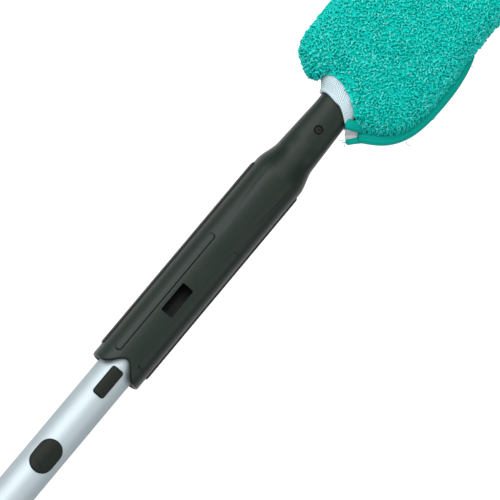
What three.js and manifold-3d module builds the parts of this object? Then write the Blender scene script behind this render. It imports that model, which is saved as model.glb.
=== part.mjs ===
// A quick-connect cleaning wand on a short extension pole, in millimetres.
// X runs along the pole towards the wand's tip, +Z is the side with the latch, and the
// wand lies on its back, so the lowest point of the terry sleeve is at Z = 0.
// While it is built, x = 0 is the mouth of the wand's socket and z = 0 the pole's axis.
import * as THREE from 'three';
import { mergeVertices } from 'three/addons/utils/BufferGeometryUtils.js';
import Module from 'manifold-3d';

const wasm = await Module();
wasm.setup();

// ---------------------------------------------------------------- driving dimensions
const GAP = 0.3;                       // between pieces that touch
const ROUND = 28;                      // sides of a large round
const SMALL_ROUND = 12;                // sides of a pin or screw

// upper tube of the pole and the latch inside it
const TUBE_R = 12.7;
const TUBE_WALL = 1.4;
const TUBE_BORE = TUBE_R - TUBE_WALL;
const TUBE_TIP = 36.8;                 // end of the tube inside the socket
const TUBE_FOOT = -442;                // end of the tube inside the lower tube
const LUG = { x: -8.2, length: 20.6, width: 7.9, corner: 1.3, top: TUBE_R + 1.9 };
const BUTTON = { x: -68.2, length: 22.6, width: 15.2, corner: 7.4, top: TUBE_R + 1.2 };
const LATCH_BAR = { foot: -88, tip: 6, width: 7, low: 3, high: 6.9 };
const HOUSING = { foot: -98, tip: 20, r: TUBE_BORE - GAP, channel: 8.2, floor: -6.9 };
const SPRING = { r: 3, wire: 0.45, turns: 4.5, low: HOUSING.floor + 0.8, high: LATCH_BAR.low - 0.8 };
const RIVET_X = [14, -93];

// wand handle: a body with a socket in it, a shoulder and a neck
const BORE_R = 13.1;
const BORE_END = 112;
const BODY = { width: 18, height: 17.5, end: 162 };
const NECK = { start: 182, width: 14.1, height: 11.6, end: 225, endWidth: 12.6, endHeight: 10 };
const SECTION_POWER = 2.25;            // a circle is 2, and more is squarer
const WALL = 2.6;
const WINDOW = { x: 58.6, length: 22, width: 8.6, corner: 0.8 };
const KEYWAY = { half: 4.6, top: LUG.top + 0.4, end: WINDOW.x + 11 };
const SCALLOP = { depth: 9.6, half: 13.5 };
const RIB = { foot: 11, tip: 105.6, width: 5, proud: 0.9, angle: 30 };
const PANEL = { height: 16.95, half: 7, end: 150 };
const SIDE_GRIP = { foot: 9.3, tip: 160, half: 5, thick: 1.6 };
const NECK_SCREW_X = 201.7;
const SHELL_SCREW_X = [128, 150];
const TANG = { foot: 190, half: 10, thick: 4 };

// bending frame inside the sleeve
const HINGE_X = [310, 440, 570];
const FRAME = { half: 37, thick: 3, tip: 703, flare: 262 };
const KNUCKLE_R = 4;
const LINK_CLEAR = 6;                  // from a hinge axis to the end of each link's plate
const PIN_R = 1.8;

// terry sleeve and its cuff
const SLEEVE = { foot: 218, tip: 713, half: 47.5, thick: 19.5, corner: 26, edge: 13, lead: 16 };
const POCKET = { half: 41, thick: 5 };
const CUFF = { foot: 214.5, tip: 228, wall: 2.6 };
const BINDING = { foot: 240, tip: 303, width: 4.6, thick: 3.2 };

// lower tube, twist collar, grip and end cap
const LOWER_R = 14.5;
const LOWER_BORE = 13.2;
const LOWER_TIP = -146;
const LOWER_FOOT = -478;
const COLLAR = { tip: -119, foot: -166, r: 18.2, bore: 17, lip: TUBE_R + 0.5, ribs: 12 };
const COLLET = { tip: -122.3, foot: -170, slits: 4 };
const GRIP = { tip: -330, foot: -470, r: 17.6, rings: 6 };
const CAP = { foot: -500, r: 18.2, face: 12 };

// the whole object's middle, and the height of the pole's axis over its lowest point
const MIDDLE_X = (SLEEVE.tip + CAP.foot) / 2;
const MIDDLE_Y = -(GAP + BINDING.width) / 2;
const AXIS_Z = SLEEVE.thick;

// ---------------------------------------------------------------- materials
const finish = (color, roughness, metalness = 0) =>
  new THREE.MeshStandardMaterial({ color, roughness, metalness });
const blackPlastic = finish(0x33383a, 0.5);
const darkPlastic = finish(0x222526, 0.55);
const softRubber = finish(0x161818, 0.75);
const aluminium = finish(0xccd6d8, 0.35, 0.9);
const steel = finish(0xb0b0aa, 0.35, 1);
const terry = finish(0x08b89a, 0.95);
const knit = finish(0xe6eef0, 0.9);

// ---------------------------------------------------------------- solids from geometries
function solid(geometry) {
  const bare = geometry.index ? geometry.toNonIndexed() : geometry.clone();
  for (const name of Object.keys(bare.attributes)) if (name !== 'position') bare.deleteAttribute(name);
  const merged = mergeVertices(bare, 1e-4);
  return new wasm.Manifold(new wasm.Mesh({
    numProp: 3,
    vertProperties: merged.attributes.position.array,
    triVerts: new Uint32Array(merged.index.array),
  }));
}

function geometryOf(manifold) {
  const mesh = manifold.getMesh();
  const geometry = new THREE.BufferGeometry();
  geometry.setAttribute('position', new THREE.BufferAttribute(mesh.vertProperties, 3));
  geometry.setIndex(new THREE.BufferAttribute(mesh.triVerts, 1));
  geometry.computeVertexNormals();
  return geometry;
}

const joined = (...solids) => solids.reduce((a, b) => a.add(b));
const without = (body, ...cuts) => cuts.reduce((a, b) => a.subtract(b), body);

function box(x0, x1, y0, y1, z0, z1) {
  const geometry = new THREE.BoxGeometry(x1 - x0, y1 - y0, z1 - z0);
  return solid(geometry.translate((x0 + x1) / 2, (y0 + y1) / 2, (z0 + z1) / 2));
}

function rodX(r, x0, x1, sides = ROUND, endR = r) {
  const geometry = new THREE.CylinderGeometry(endR, r, x1 - x0, sides);
  return solid(geometry.rotateZ(-Math.PI / 2).translate((x0 + x1) / 2, 0, 0));
}

function rodY(r, x, y0, y1, z = 0, sides = SMALL_ROUND) {
  const geometry = new THREE.CylinderGeometry(r, r, y1 - y0, sides);
  return solid(geometry.translate(x, (y0 + y1) / 2, z));
}

function rodZ(r, x, z0, z1, sides = SMALL_ROUND) {
  const geometry = new THREE.CylinderGeometry(r, r, z1 - z0, sides);
  return solid(geometry.rotateX(Math.PI / 2).translate(x, 0, (z0 + z1) / 2));
}

// A flat outline in X and Y, given its thickness in Z.
function plate(shape, z0, z1, curveSegments = 6) {
  const settings = { depth: z1 - z0, bevelEnabled: false, curveSegments };
  return solid(new THREE.ExtrudeGeometry(shape, settings).translate(0, 0, z0));
}

const shapeOf = (points) => new THREE.Shape(points.map(([x, y]) => new THREE.Vector2(x, y)));

// A side outline in X and Z, carried across the width in Y.
function profile(points, y0, y1) {
  const settings = { depth: y1 - y0, bevelEnabled: false };
  const geometry = new THREE.ExtrudeGeometry(shapeOf(points), settings);
  const turn = new THREE.Matrix4().makeBasis(
    new THREE.Vector3(1, 0, 0), new THREE.Vector3(0, 0, 1), new THREE.Vector3(0, -1, 0));
  return solid(geometry.applyMatrix4(turn).translate(0, y1, 0));
}

// A body of revolution about the pole's axis from (x, radius) points, closed on the axis.
function turned(points, sides = ROUND) {
  const outline = points.map(([x, r]) => new THREE.Vector2(r, x));
  const geometry = new THREE.LatheGeometry(outline, sides);
  return solid(geometry.rotateZ(-Math.PI / 2));
}

function roundedRectangle(x, length, width, corner) {
  const [a, b, r] = [length / 2, width / 2, Math.min(corner, width / 2 - 0.01)];
  const shape = new THREE.Shape();
  shape.moveTo(x - a + r, -b);
  shape.lineTo(x + a - r, -b);
  shape.absarc(x + a - r, -b + r, r, -Math.PI / 2, 0);
  shape.lineTo(x + a, b - r);
  shape.absarc(x + a - r, b - r, r, 0, Math.PI / 2);
  shape.lineTo(x - a + r, b);
  shape.absarc(x - a + r, b - r, r, Math.PI / 2, Math.PI);
  shape.lineTo(x - a, -b + r);
  shape.absarc(x - a + r, -b + r, r, Math.PI, Math.PI * 1.5);
  return shape;
}

// ---------------------------------------------------------------- the assembly
const wand = new THREE.Group();
wand.position.set(-MIDDLE_X, -MIDDLE_Y, AXIS_Z);

function add(name, manifold, material) {
  const mesh = new THREE.Mesh(geometryOf(manifold), material);
  mesh.name = name;
  wand.add(mesh);
}

// ---------------------------------------------------------------- handle shells
const smooth = (t) => {
  const s = Math.min(1, Math.max(0, t));
  return s * s * (3 - 2 * s);
};

// Half width and half height of the handle's outside at x.
function handleSection(x) {
  const shoulder = smooth((x - BODY.end) / (NECK.start - BODY.end));
  const taper = Math.max(0, (x - NECK.start) / (NECK.end - NECK.start));
  const neckWidth = NECK.width + (NECK.endWidth - NECK.width) * taper;
  const neckHeight = NECK.height + (NECK.endHeight - NECK.height) * taper;
  return [
    BODY.width + (neckWidth - BODY.width) * shoulder,
    BODY.height + (neckHeight - BODY.height) * shoulder,
  ];
}

// The handle's outside from x0 to x1, grown by an offset, as a closed loft of rounded sections.
function handleLoft(x0, x1, offset) {
  const shoulder = Array.from({ length: 5 }, (_, i) => BODY.end + 1 + i * 4.6);
  const stations = [x0, ...shoulder.filter((x) => x > x0 && x < x1), x1];
  const points = [];
  const faces = [];
  for (const x of stations) {
    const [width, height] = handleSection(x).map((half) => half + offset);
    for (let i = 0; i < ROUND; i += 1) {
      const angle = (i / ROUND) * 2 * Math.PI;
      const [c, s] = [Math.cos(angle), Math.sin(angle)];
      const y = Math.sign(c) * Math.abs(c) ** (2 / SECTION_POWER) * width;
      const z = Math.sign(s) * Math.abs(s) ** (2 / SECTION_POWER) * height;
      points.push(x, y, z);
    }
  }
  const at = (station, i) => station * ROUND + (i % ROUND);
  for (let k = 0; k + 1 < stations.length; k += 1) {
    for (let i = 0; i < ROUND; i += 1) {
      faces.push(at(k, i), at(k, i + 1), at(k + 1, i + 1), at(k, i), at(k + 1, i + 1), at(k + 1, i));
    }
  }
  const last = stations.length - 1;
  for (let i = 1; i + 1 < ROUND; i += 1) {
    faces.push(at(0, 0), at(0, i + 1), at(0, i), at(last, 0), at(last, i), at(last, i + 1));
  }
  const geometry = new THREE.BufferGeometry();
  geometry.setAttribute('position', new THREE.BufferAttribute(new Float32Array(points), 3));
  geometry.setIndex(faces);
  return solid(geometry);
}

// A long raised rib with round ends, standing on the handle's body at an angle from its front.
function gripRib(degrees) {
  const length = RIB.tip - RIB.foot;
  const shape = roundedRectangle((RIB.foot + RIB.tip) / 2, length, RIB.width - 0.8, RIB.width);
  const low = BODY.height - 2;
  const high = BODY.width + RIB.proud;
  const geometry = new THREE.ExtrudeGeometry(shape, {
    depth: high - low - 0.4, curveSegments: 3, bevelSize: 0.4, bevelThickness: 0.4, bevelSegments: 1,
  });
  return solid(geometry.translate(0, 0, low).rotateX(THREE.MathUtils.degToRad(degrees)));
}

function scallop() {
  const shape = new THREE.Shape();
  const steps = 12;
  shape.moveTo(-5, -SCALLOP.half);
  for (let i = 0; i <= steps; i += 1) {
    const t = (2 * i) / steps - 1;
    shape.lineTo(SCALLOP.depth * (1 - smooth(Math.abs(t))), t * SCALLOP.half);
  }
  shape.lineTo(-5, SCALLOP.half);
  return plate(shape, 0.2, BODY.height + 4);
}

// Where the button comes to lie under the socket's lip once the lug is in its window.
function buttonRelief() {
  const x = BUTTON.x + WINDOW.x - LUG.x;
  const shape = roundedRectangle(x, BUTTON.length + 1, BUTTON.width + 1, BUTTON.corner + 0.5);
  return plate(shape, 0.2, BUTTON.top + 0.5);
}

function handleCuts() {
  const frameGap = TANG.thick + GAP;
  return [
    rodX(BORE_R, -1, BORE_END),
    rodX(BORE_R + 1.2, -0.4, 1, ROUND, BORE_R - 0.2),
    handleLoft(BORE_END + 4, NECK.start + 5, -WALL),
    box(TANG.foot - GAP, NECK.end + 1, -TANG.half - GAP, TANG.half + GAP, -frameGap, frameGap),
  ];
}

const handle = without(handleLoft(0, NECK.end, 0), ...handleCuts());
const frontHalf = box(-1, NECK.end + 1, -30, 30, GAP / 2, 30);
const backHalf = box(-1, NECK.end + 1, -30, 30, -30, -GAP / 2);
const insideBody = handleLoft(BORE_END, BODY.end + 8, -1);

function frontShell() {
  const bosses = SHELL_SCREW_X.map((x) => rodZ(4.5, x, GAP / 2, BODY.height + 2).intersect(insideBody));
  const pilots = SHELL_SCREW_X.map((x) => rodZ(1.7, x, -1, 11));
  const window = roundedRectangle(WINDOW.x, WINDOW.length, WINDOW.width, WINDOW.corner);
  const top = handleSection(NECK_SCREW_X)[1];
  return without(
    joined(handle.intersect(frontHalf), gripRib(RIB.angle), gripRib(-RIB.angle), ...bosses),
    ...pilots,
    box(-1, PANEL.end, -PANEL.half, PANEL.half, PANEL.height, BODY.height + 4),
    plate(window, 0, BODY.height + 4, 3),
    box(-1, KEYWAY.end, -KEYWAY.half, KEYWAY.half, 0, KEYWAY.top),
    scallop(),
    buttonRelief(),
    rodZ(2, NECK_SCREW_X, -1, top + 1),
    rodZ(3, NECK_SCREW_X, top - 1.8, top + 1),
  );
}

function backShell() {
  const bosses = SHELL_SCREW_X.map((x) =>
    rodZ(4.5, x, -BODY.height - 2, -GAP / 2).intersect(insideBody));
  const holes = SHELL_SCREW_X.flatMap((x) => [
    rodZ(2, x, -BODY.height - 1, 0),
    rodZ(3.6, x, -BODY.height - 1, -BODY.height + 3.4),
  ]);
  return without(
    joined(
      handle.intersect(backHalf), gripRib(180 + RIB.angle), gripRib(180 - RIB.angle), ...bosses),
    ...holes,
    rodZ(1.7, NECK_SCREW_X, -7.5, 0),
  );
}

// A pan-head self-tapping screw along Z. Its head is at z1, and its shank runs to z0.
function screw(x, headR, headEnd, z1, z0) {
  const [low, high] = [Math.min(headEnd, z1), Math.max(headEnd, z1)];
  return joined(rodZ(headR, x, low, high), rodZ(1.35, x, Math.min(z0, z1), Math.max(z0, z1)));
}

function sideGrip(side) {
  const skin = without(
    handleLoft(SIDE_GRIP.foot, SIDE_GRIP.tip, SIDE_GRIP.thick + GAP),
    handleLoft(SIDE_GRIP.foot - 1, SIDE_GRIP.tip + 1, GAP),
  );
  const [y0, y1] = side > 0 ? [5, 30] : [-30, -5];
  return skin.intersect(
    box(SIDE_GRIP.foot - 1, SIDE_GRIP.tip + 1, y0, y1, -SIDE_GRIP.half, SIDE_GRIP.half));
}

const neckTop = handleSection(NECK_SCREW_X)[1];
add('handle_front_shell', frontShell(), blackPlastic);
add('handle_back_shell', backShell(), blackPlastic);
add('side_grip_left', sideGrip(1), softRubber);
add('side_grip_right', sideGrip(-1), softRubber);
add('neck_screw', screw(NECK_SCREW_X, 2.7, neckTop - 1.5, neckTop - 0.2, -7), steel);
SHELL_SCREW_X.forEach((x, i) =>
  add(`shell_screw_${i + 1}`, screw(x, 3.3, -BODY.height + 3.1, -BODY.height + 1.4, 10), steel));

// ---------------------------------------------------------------- bending frame
// A ladder plate from x0 to x1 with rounded windows between its rungs.
function ladder(outline, windows) {
  const cuts = windows.map(([x0, x1, half]) =>
    plate(roundedRectangle((x0 + x1) / 2, x1 - x0, 2 * half, 5), -9, 9, 3));
  return without(plate(outline, -FRAME.thick, FRAME.thick), ...cuts);
}

// The forked end of a link: two knuckles that carry the pin at x.
function fork(x) {
  const knuckles = [-1, 1].flatMap((side) => {
    const [y0, y1] = side > 0 ? [12, 22] : [-22, -12];
    return [rodY(KNUCKLE_R, x, y0, y1), box(x - LINK_CLEAR - 1, x, y0, y1, -FRAME.thick, FRAME.thick)];
  });
  return joined(...knuckles);
}

// The single knuckle between the fork's two.
function tongue(x) {
  return joined(
    rodY(KNUCKLE_R, x, -11.6, 11.6),
    box(x, x + LINK_CLEAR + 1, -11.6, 11.6, -FRAME.thick, FRAME.thick));
}

const pinHole = (x) => rodY(PIN_R + GAP, x, -30, 30);

const rectangleShape = (x0, x1, half) => shapeOf([[x0, -half], [x1, -half], [x1, half], [x0, half]]);

// A strip from x0 whose far end is an arc about (centre, 0).
function roundEnded(x0, centre, half) {
  const shape = new THREE.Shape();
  shape.moveTo(x0, -half);
  shape.lineTo(centre, -half);
  shape.absarc(centre, 0, half, -Math.PI / 2, Math.PI / 2);
  shape.lineTo(x0, half);
  return shape;
}

function frameRoot() {
  const [end, neck] = [HINGE_X[0] - LINK_CLEAR, NECK.end + 2];
  const outline = new THREE.Shape();
  outline.moveTo(TANG.foot, -TANG.half);
  outline.lineTo(neck, -TANG.half);
  outline.bezierCurveTo(neck + 14, -TANG.half, neck + 12, -FRAME.half, FRAME.flare, -FRAME.half);
  outline.lineTo(end, -FRAME.half);
  outline.lineTo(end, FRAME.half);
  outline.lineTo(FRAME.flare, FRAME.half);
  outline.bezierCurveTo(neck + 12, FRAME.half, neck + 14, TANG.half, neck, TANG.half);
  outline.lineTo(TANG.foot, TANG.half);
  const tang = box(TANG.foot, NECK.end, -TANG.half, TANG.half, -TANG.thick, TANG.thick);
  return without(
    joined(ladder(outline, [[252, 290, 25]]), tang, fork(HINGE_X[0])),
    pinHole(HINGE_X[0]),
    rodZ(2, NECK_SCREW_X, -9, 9),
  );
}

function frameLink(index) {
  const start = HINGE_X[index];
  const next = HINGE_X[index + 1];
  if (next === undefined) {
    const round = roundEnded(start + LINK_CLEAR, FRAME.tip - FRAME.half, FRAME.half);
    const windows = [[start + 18, start + 50, 27], [start + 58, start + 96, 27]];
    return without(joined(ladder(round, windows), tongue(start)), pinHole(start));
  }
  const outline = rectangleShape(start + LINK_CLEAR, next - LINK_CLEAR, FRAME.half);
  const windows = [[start + 18, start + 61, 27], [start + 69, next - 18, 27]];
  return without(
    joined(ladder(outline, windows), tongue(start), fork(next)), pinHole(start), pinHole(next));
}

add('frame_root', frameRoot(), darkPlastic);
HINGE_X.forEach((x, i) => {
  add(`frame_link_${i + 1}`, frameLink(i), darkPlastic);
  add(`hinge_pin_${i + 1}`, rodY(PIN_R, x, -23, 23), steel);
});

// ---------------------------------------------------------------- terry sleeve
// One stretch of the sleeve: a flat pillow section along X, cut to an outline seen from above
// and to one seen from the side, with the pocket that the frame slides into.
function sleeveBlock(outline, sideOutline, pocket) {
  const section = roundedRectangle(0, 2 * SLEEVE.thick, 2 * SLEEVE.half, SLEEVE.edge);
  const length = SLEEVE.tip - SLEEVE.foot + 10;
  const settings = { depth: length, bevelEnabled: false, curveSegments: 3 };
  const pillow = new THREE.ExtrudeGeometry(section, settings);
  pillow.rotateY(Math.PI / 2).translate(SLEEVE.foot - 5, 0, 0);
  return solid(pillow)
    .intersect(plate(outline, -SLEEVE.thick - 1, SLEEVE.thick + 1, 8))
    .intersect(profile(sideOutline, -SLEEVE.half - 1, SLEEVE.half + 1))
    .subtract(plate(pocket, -POCKET.thick, POCKET.thick));
}

function sleeveRoot() {
  const [x0, x1, r, half] = [SLEEVE.foot, HINGE_X[0] - LINK_CLEAR, SLEEVE.corner, SLEEVE.half];
  const outline = new THREE.Shape();
  outline.moveTo(x0 + r, -half);
  outline.lineTo(x1, -half);
  outline.lineTo(x1, half);
  outline.lineTo(x0 + r, half);
  outline.absarc(x0 + r, half - r, r, Math.PI / 2, Math.PI);
  outline.absarc(x0 + r, -half + r, r, Math.PI, Math.PI * 1.5);
  const shoulder = FRAME.flare - 12;
  const pocket = shapeOf([
    [x0 + 8, -18], [shoulder, -POCKET.half], [x1 + 1, -POCKET.half],
    [x1 + 1, POCKET.half], [shoulder, POCKET.half], [x0 + 8, 18]]);
  const lip = NECK.endHeight + CUFF.wall + 2;
  const side = [
    [x0, -lip], [x0 + SLEEVE.lead, -SLEEVE.thick], [x1, -SLEEVE.thick],
    [x1, SLEEVE.thick], [x0 + SLEEVE.lead, SLEEVE.thick], [x0, lip]];
  const cuffSpace = handleLoft(x0 - 5, CUFF.tip + GAP, CUFF.wall + GAP);
  return sleeveBlock(outline, side, pocket).subtract(cuffSpace);
}

function sleeveStretch(index) {
  const x0 = HINGE_X[index] + LINK_CLEAR;
  const next = HINGE_X[index + 1];
  if (next !== undefined) {
    const x1 = next - LINK_CLEAR;
    const sides = [
      [x0, -SLEEVE.thick], [x1, -SLEEVE.thick], [x1, SLEEVE.thick], [x0, SLEEVE.thick]];
    const pocket = rectangleShape(x0 - 1, x1 + 1, POCKET.half);
    return sleeveBlock(rectangleShape(x0, x1, SLEEVE.half), sides, pocket);
  }
  const bend = SLEEVE.tip - SLEEVE.half;
  const outline = roundEnded(x0, bend, SLEEVE.half);
  const pocket = roundEnded(x0 - 1, FRAME.tip - FRAME.half, POCKET.half);
  const side = [
    [x0, -SLEEVE.thick], [SLEEVE.tip - SLEEVE.lead, -SLEEVE.thick], [SLEEVE.tip, -SLEEVE.edge],
    [SLEEVE.tip, SLEEVE.edge], [SLEEVE.tip - SLEEVE.lead, SLEEVE.thick], [x0, SLEEVE.thick]];
  return sleeveBlock(outline, side, pocket);
}

// The knitted cuff: an oval band that hugs the end of the neck.
function cuffBand() {
  return without(
    handleLoft(CUFF.foot, CUFF.tip, CUFF.wall), handleLoft(CUFF.foot - 1, CUFF.tip + 1, 0.5));
}

// The bound edge of the sleeve's side seam, beside its first stretch.
function seamBinding() {
  const { foot, tip, width, thick } = BINDING;
  const y = -SLEEVE.half - GAP;
  return box(foot, tip, y - width, y, -thick, thick);
}

add('sleeve_root', sleeveRoot(), terry);
HINGE_X.forEach((x, i) => add(`sleeve_${i + 1}`, sleeveStretch(i), terry));
add('cuff_band', cuffBand(), knit);
add('seam_binding', seamBinding(), terry);

// ---------------------------------------------------------------- upper tube
function upperTube() {
  const lugSlot = roundedRectangle(LUG.x, LUG.length + 2 * GAP, LUG.width + 2 * GAP, LUG.corner + GAP);
  const buttonSlot = roundedRectangle(
    BUTTON.x, BUTTON.length + 2 * GAP, BUTTON.width + 2 * GAP, BUTTON.corner + GAP);
  return without(
    rodX(TUBE_R, TUBE_FOOT, TUBE_TIP),
    rodX(TUBE_BORE, TUBE_FOOT - 1, TUBE_TIP + 1),
    plate(lugSlot, 2, 20, 3),
    plate(buttonSlot, 2, 20),
    ...RIVET_X.map((x) => rodZ(1.8, x, -20, -5)),
  );
}

// The plug that closes the tube's tip and leads it into the socket.
function tipPlug() {
  const x = TUBE_TIP;
  const inside = TUBE_BORE - GAP;
  return turned([
    [x - 12, 0], [x - 12, inside - 1], [x - 11, inside], [x + GAP, inside],
    [x + GAP, TUBE_R], [x + 1.5, TUBE_R - 1.4], [x + 1.5, 0]]);
}

// The trough that the latch moves in, with a post in each spring.
function latchHousing() {
  const { foot, tip, r, channel, floor } = HOUSING;
  const posts = [LUG.x, BUTTON.x].map((x) => rodZ(1.4, x, floor - 1, floor + 4));
  const trough = without(
    rodX(r, foot, tip),
    box(foot + 8, tip - 8, -channel, channel, floor, r + 1),
    ...RIVET_X.map((x) => rodZ(1.8, x, -r - 1, -5)),
  );
  return joined(trough, ...posts);
}

const rivet = (x) => rodZ(1.5, x, -TUBE_R + 0.15, -5.3);

// The nylon glide on the foot of the upper tube, which runs in the lower tube.
function glideBush() {
  const x = TUBE_FOOT;
  return turned([
    [x - 12, 0], [x - 12, LOWER_BORE - 1], [x - 11, LOWER_BORE - 0.35], [x - GAP, LOWER_BORE - 0.35],
    [x - GAP, TUBE_BORE - GAP], [x + 14, TUBE_BORE - GAP], [x + 15, TUBE_BORE - 1.3], [x + 15, 0]]);
}

add('upper_tube', upperTube(), aluminium);
add('tip_plug', tipPlug(), darkPlastic);
add('latch_housing', latchHousing(), darkPlastic);
RIVET_X.forEach((x, i) => add(`housing_rivet_${i + 1}`, rivet(x), steel));
add('glide_bush', glideBush(), darkPlastic);

// ---------------------------------------------------------------- latch
// The lug and the button stand on one bar, so that pressing the button draws in the lug.
const latchFoot = LATCH_BAR.high + GAP;

function lockLug() {
  const { x, length, width, corner, top } = LUG;
  const post = plate(roundedRectangle(x, length, width, corner), latchFoot, top + 1, 3);
  const flange = box(x - length / 2 - 2, x + length / 2 + 2, -5.2, 5.2, latchFoot, 9.6);
  return joined(post.intersect(rodX(top, x - length, x + length)), flange);
}

function releaseButton() {
  const { x, length, width, corner, top } = BUTTON;
  const post = plate(roundedRectangle(x, length, width, corner), latchFoot, top + 1, 5);
  const flange = box(x - length / 2 - 2, x + length / 2 + 2, -5.2, 5.2, latchFoot, 8.4);
  return joined(post.intersect(rodX(top, x - length, x + length)), flange);
}

function latchBar() {
  const { foot, tip, width, low, high } = LATCH_BAR;
  return plate(roundedRectangle((foot + tip) / 2, tip - foot, width, 2), low, high, 3);
}

class Coil extends THREE.Curve {
  constructor(x, { r, turns, low, high }) {
    super();
    Object.assign(this, { x, r, turns, low, high });
  }

  getPoint(t, target = new THREE.Vector3()) {
    const angle = t * this.turns * 2 * Math.PI;
    return target.set(
      this.x + this.r * Math.cos(angle), this.r * Math.sin(angle), this.low + t * (this.high - this.low));
  }
}

function latchSpring(x) {
  const wire = new THREE.Shape().absarc(0, 0, SPRING.wire, 0, 2 * Math.PI);
  const settings = { extrudePath: new Coil(x, SPRING), steps: 36, curveSegments: 2 };
  return solid(new THREE.ExtrudeGeometry(wire, settings));
}

add('latch_bar', latchBar(), darkPlastic);
add('lock_lug', lockLug(), darkPlastic);
add('release_button', releaseButton(), darkPlastic);
add('latch_spring_tip', latchSpring(LUG.x), steel);
add('latch_spring_foot', latchSpring(BUTTON.x), steel);

// ---------------------------------------------------------------- lower tube and collar
function lowerTube() {
  return without(
    rodX(LOWER_R, LOWER_FOOT, LOWER_TIP), rodX(LOWER_BORE, LOWER_FOOT - 1, LOWER_TIP + 1));
}

// The collet: slit fingers that the collar squeezes on the upper tube.
function collet() {
  const { tip, foot, slits } = COLLET;
  const shell = turned([
    [foot, 0], [foot, COLLAR.r], [foot + 3.2, COLLAR.r], [foot + 3.2, COLLAR.bore - 0.8],
    [tip - 16, COLLAR.bore - 0.8], [tip, COLLAR.bore - 1.9], [tip, 0]]);
  const slit = (angle) => {
    const cut = new THREE.BoxGeometry(18, 1.4, 40).translate(tip - 8, 0, 0).rotateX(angle);
    return solid(cut);
  };
  return without(
    shell,
    rodX(TUBE_R + GAP, foot - 1, tip + 1),
    rodX(LOWER_R + GAP, foot - 1, LOWER_TIP + GAP),
    ...Array.from({ length: slits / 2 }, (_, i) => slit((i * 2 * Math.PI) / slits)),
  );
}

// The twist collar, with a rounded lip in front and grip ribs round it.
function twistCollar() {
  const { tip, foot, r, bore, lip, ribs } = COLLAR;
  const shell = turned([
    [foot, 0], [foot, r - 0.4], [foot + 0.6, r], [tip - 6, r], [tip - 2, r - 1], [tip, r - 3], [tip, 0]]);
  const rib = (i) => {
    const bar = new THREE.CylinderGeometry(0.9, 0.9, 34, 6).rotateZ(Math.PI / 2);
    bar.translate((tip + foot) / 2 - 1, 0, r - 0.1).rotateX((i * 2 * Math.PI) / ribs);
    return solid(bar);
  };
  return without(
    joined(shell, ...Array.from({ length: ribs }, (_, i) => rib(i))),
    rodX(bore, foot - 1, tip - 2.8),
    rodX(lip, foot - 1, tip + 1),
  );
}

function wiperRing() {
  return without(
    rodX(14.4, COLLAR.tip + GAP, COLLAR.tip + 2),
    rodX(TUBE_R + GAP, COLLAR.tip - 1, COLLAR.tip + 3));
}

// The ribbed grip, thickened at both ends.
function gripSleeve() {
  const { tip, foot, r, rings } = GRIP;
  const points = [[foot, 0], [foot, r]];
  const pitch = (tip - foot - 16) / rings;
  for (let i = 0; i <= rings; i += 1) {
    const x = foot + 8 + i * pitch;
    points.push([x, r - 0.2], [x + 1.5, r - 1.1]);
    if (i < rings) points.push([x + pitch - 1.5, r - 1.1]);
  }
  points.push([tip - 3, r - 0.4], [tip, r - 2], [tip, 0]);
  return without(turned(points, 24), rodX(LOWER_R + GAP, foot - 1, tip + 1));
}

function endCap() {
  const { foot, r, face } = CAP;
  const x = LOWER_FOOT;
  return turned([
    [foot, 0], [foot, face], [foot + 2, r - 3], [foot + 7, r], [x + 7.4, r], [x + 7.4, LOWER_R + GAP],
    [x - GAP, LOWER_R + GAP], [x - GAP, LOWER_BORE - GAP], [x + 22, LOWER_BORE - GAP], [x + 23, 11],
    [x + 23, 0]]);
}

add('lower_tube', lowerTube(), aluminium);
add('collet', collet(), darkPlastic);
add('twist_collar', twistCollar(), blackPlastic);
add('wiper_ring', wiperRing(), softRubber);
add('grip_sleeve', gripSleeve(), softRubber);
add('end_cap', endCap(), blackPlastic);

export default wand;
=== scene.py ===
import math

import bpy
import numpy as np
from mathutils import Matrix, Vector


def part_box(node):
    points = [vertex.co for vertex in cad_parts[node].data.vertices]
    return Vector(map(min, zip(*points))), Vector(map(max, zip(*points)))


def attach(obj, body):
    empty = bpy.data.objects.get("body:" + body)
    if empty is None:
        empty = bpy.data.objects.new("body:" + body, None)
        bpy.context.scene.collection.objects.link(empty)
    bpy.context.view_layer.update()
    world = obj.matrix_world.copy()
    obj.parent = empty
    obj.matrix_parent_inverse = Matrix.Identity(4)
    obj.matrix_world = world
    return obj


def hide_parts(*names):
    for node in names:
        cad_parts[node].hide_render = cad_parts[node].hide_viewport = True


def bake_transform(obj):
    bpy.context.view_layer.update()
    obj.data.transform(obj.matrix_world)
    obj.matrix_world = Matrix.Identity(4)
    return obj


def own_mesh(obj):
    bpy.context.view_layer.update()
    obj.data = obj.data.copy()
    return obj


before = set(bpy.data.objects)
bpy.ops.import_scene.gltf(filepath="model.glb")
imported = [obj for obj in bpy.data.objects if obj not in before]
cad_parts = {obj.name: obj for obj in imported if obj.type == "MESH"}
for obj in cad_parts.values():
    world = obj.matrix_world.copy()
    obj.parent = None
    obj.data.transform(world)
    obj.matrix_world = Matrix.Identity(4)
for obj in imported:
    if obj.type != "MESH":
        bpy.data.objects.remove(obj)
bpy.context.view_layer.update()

# ------------------------------------------------------------------ view, light and floor
# The camera looks down on the front of the handle through a long lens, with the pole running
# from the lower left to the upper right. A broad soft light stands over the handle's left side.
# The object is held up clear of the floor, so that the wand has room to bend down.
MM = 0.001
VIEW_MIDDLE = (115.6, -16.3)
VIEW_WIDTH = 319.0 * MM
VIEW_DISTANCE = 1.6
VIEW_ROLL = math.radians(50.15)
TOWARDS_POLE = math.radians(9)
TOWARDS_LEFT = math.radians(5)
FLOOR_SIZE = 30.0
FLOOR_BELOW = 0.40
PAPER_GREY, PAPER_GLOW, SKY_STRENGTH = 0.55, 0.52, 0.28

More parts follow.
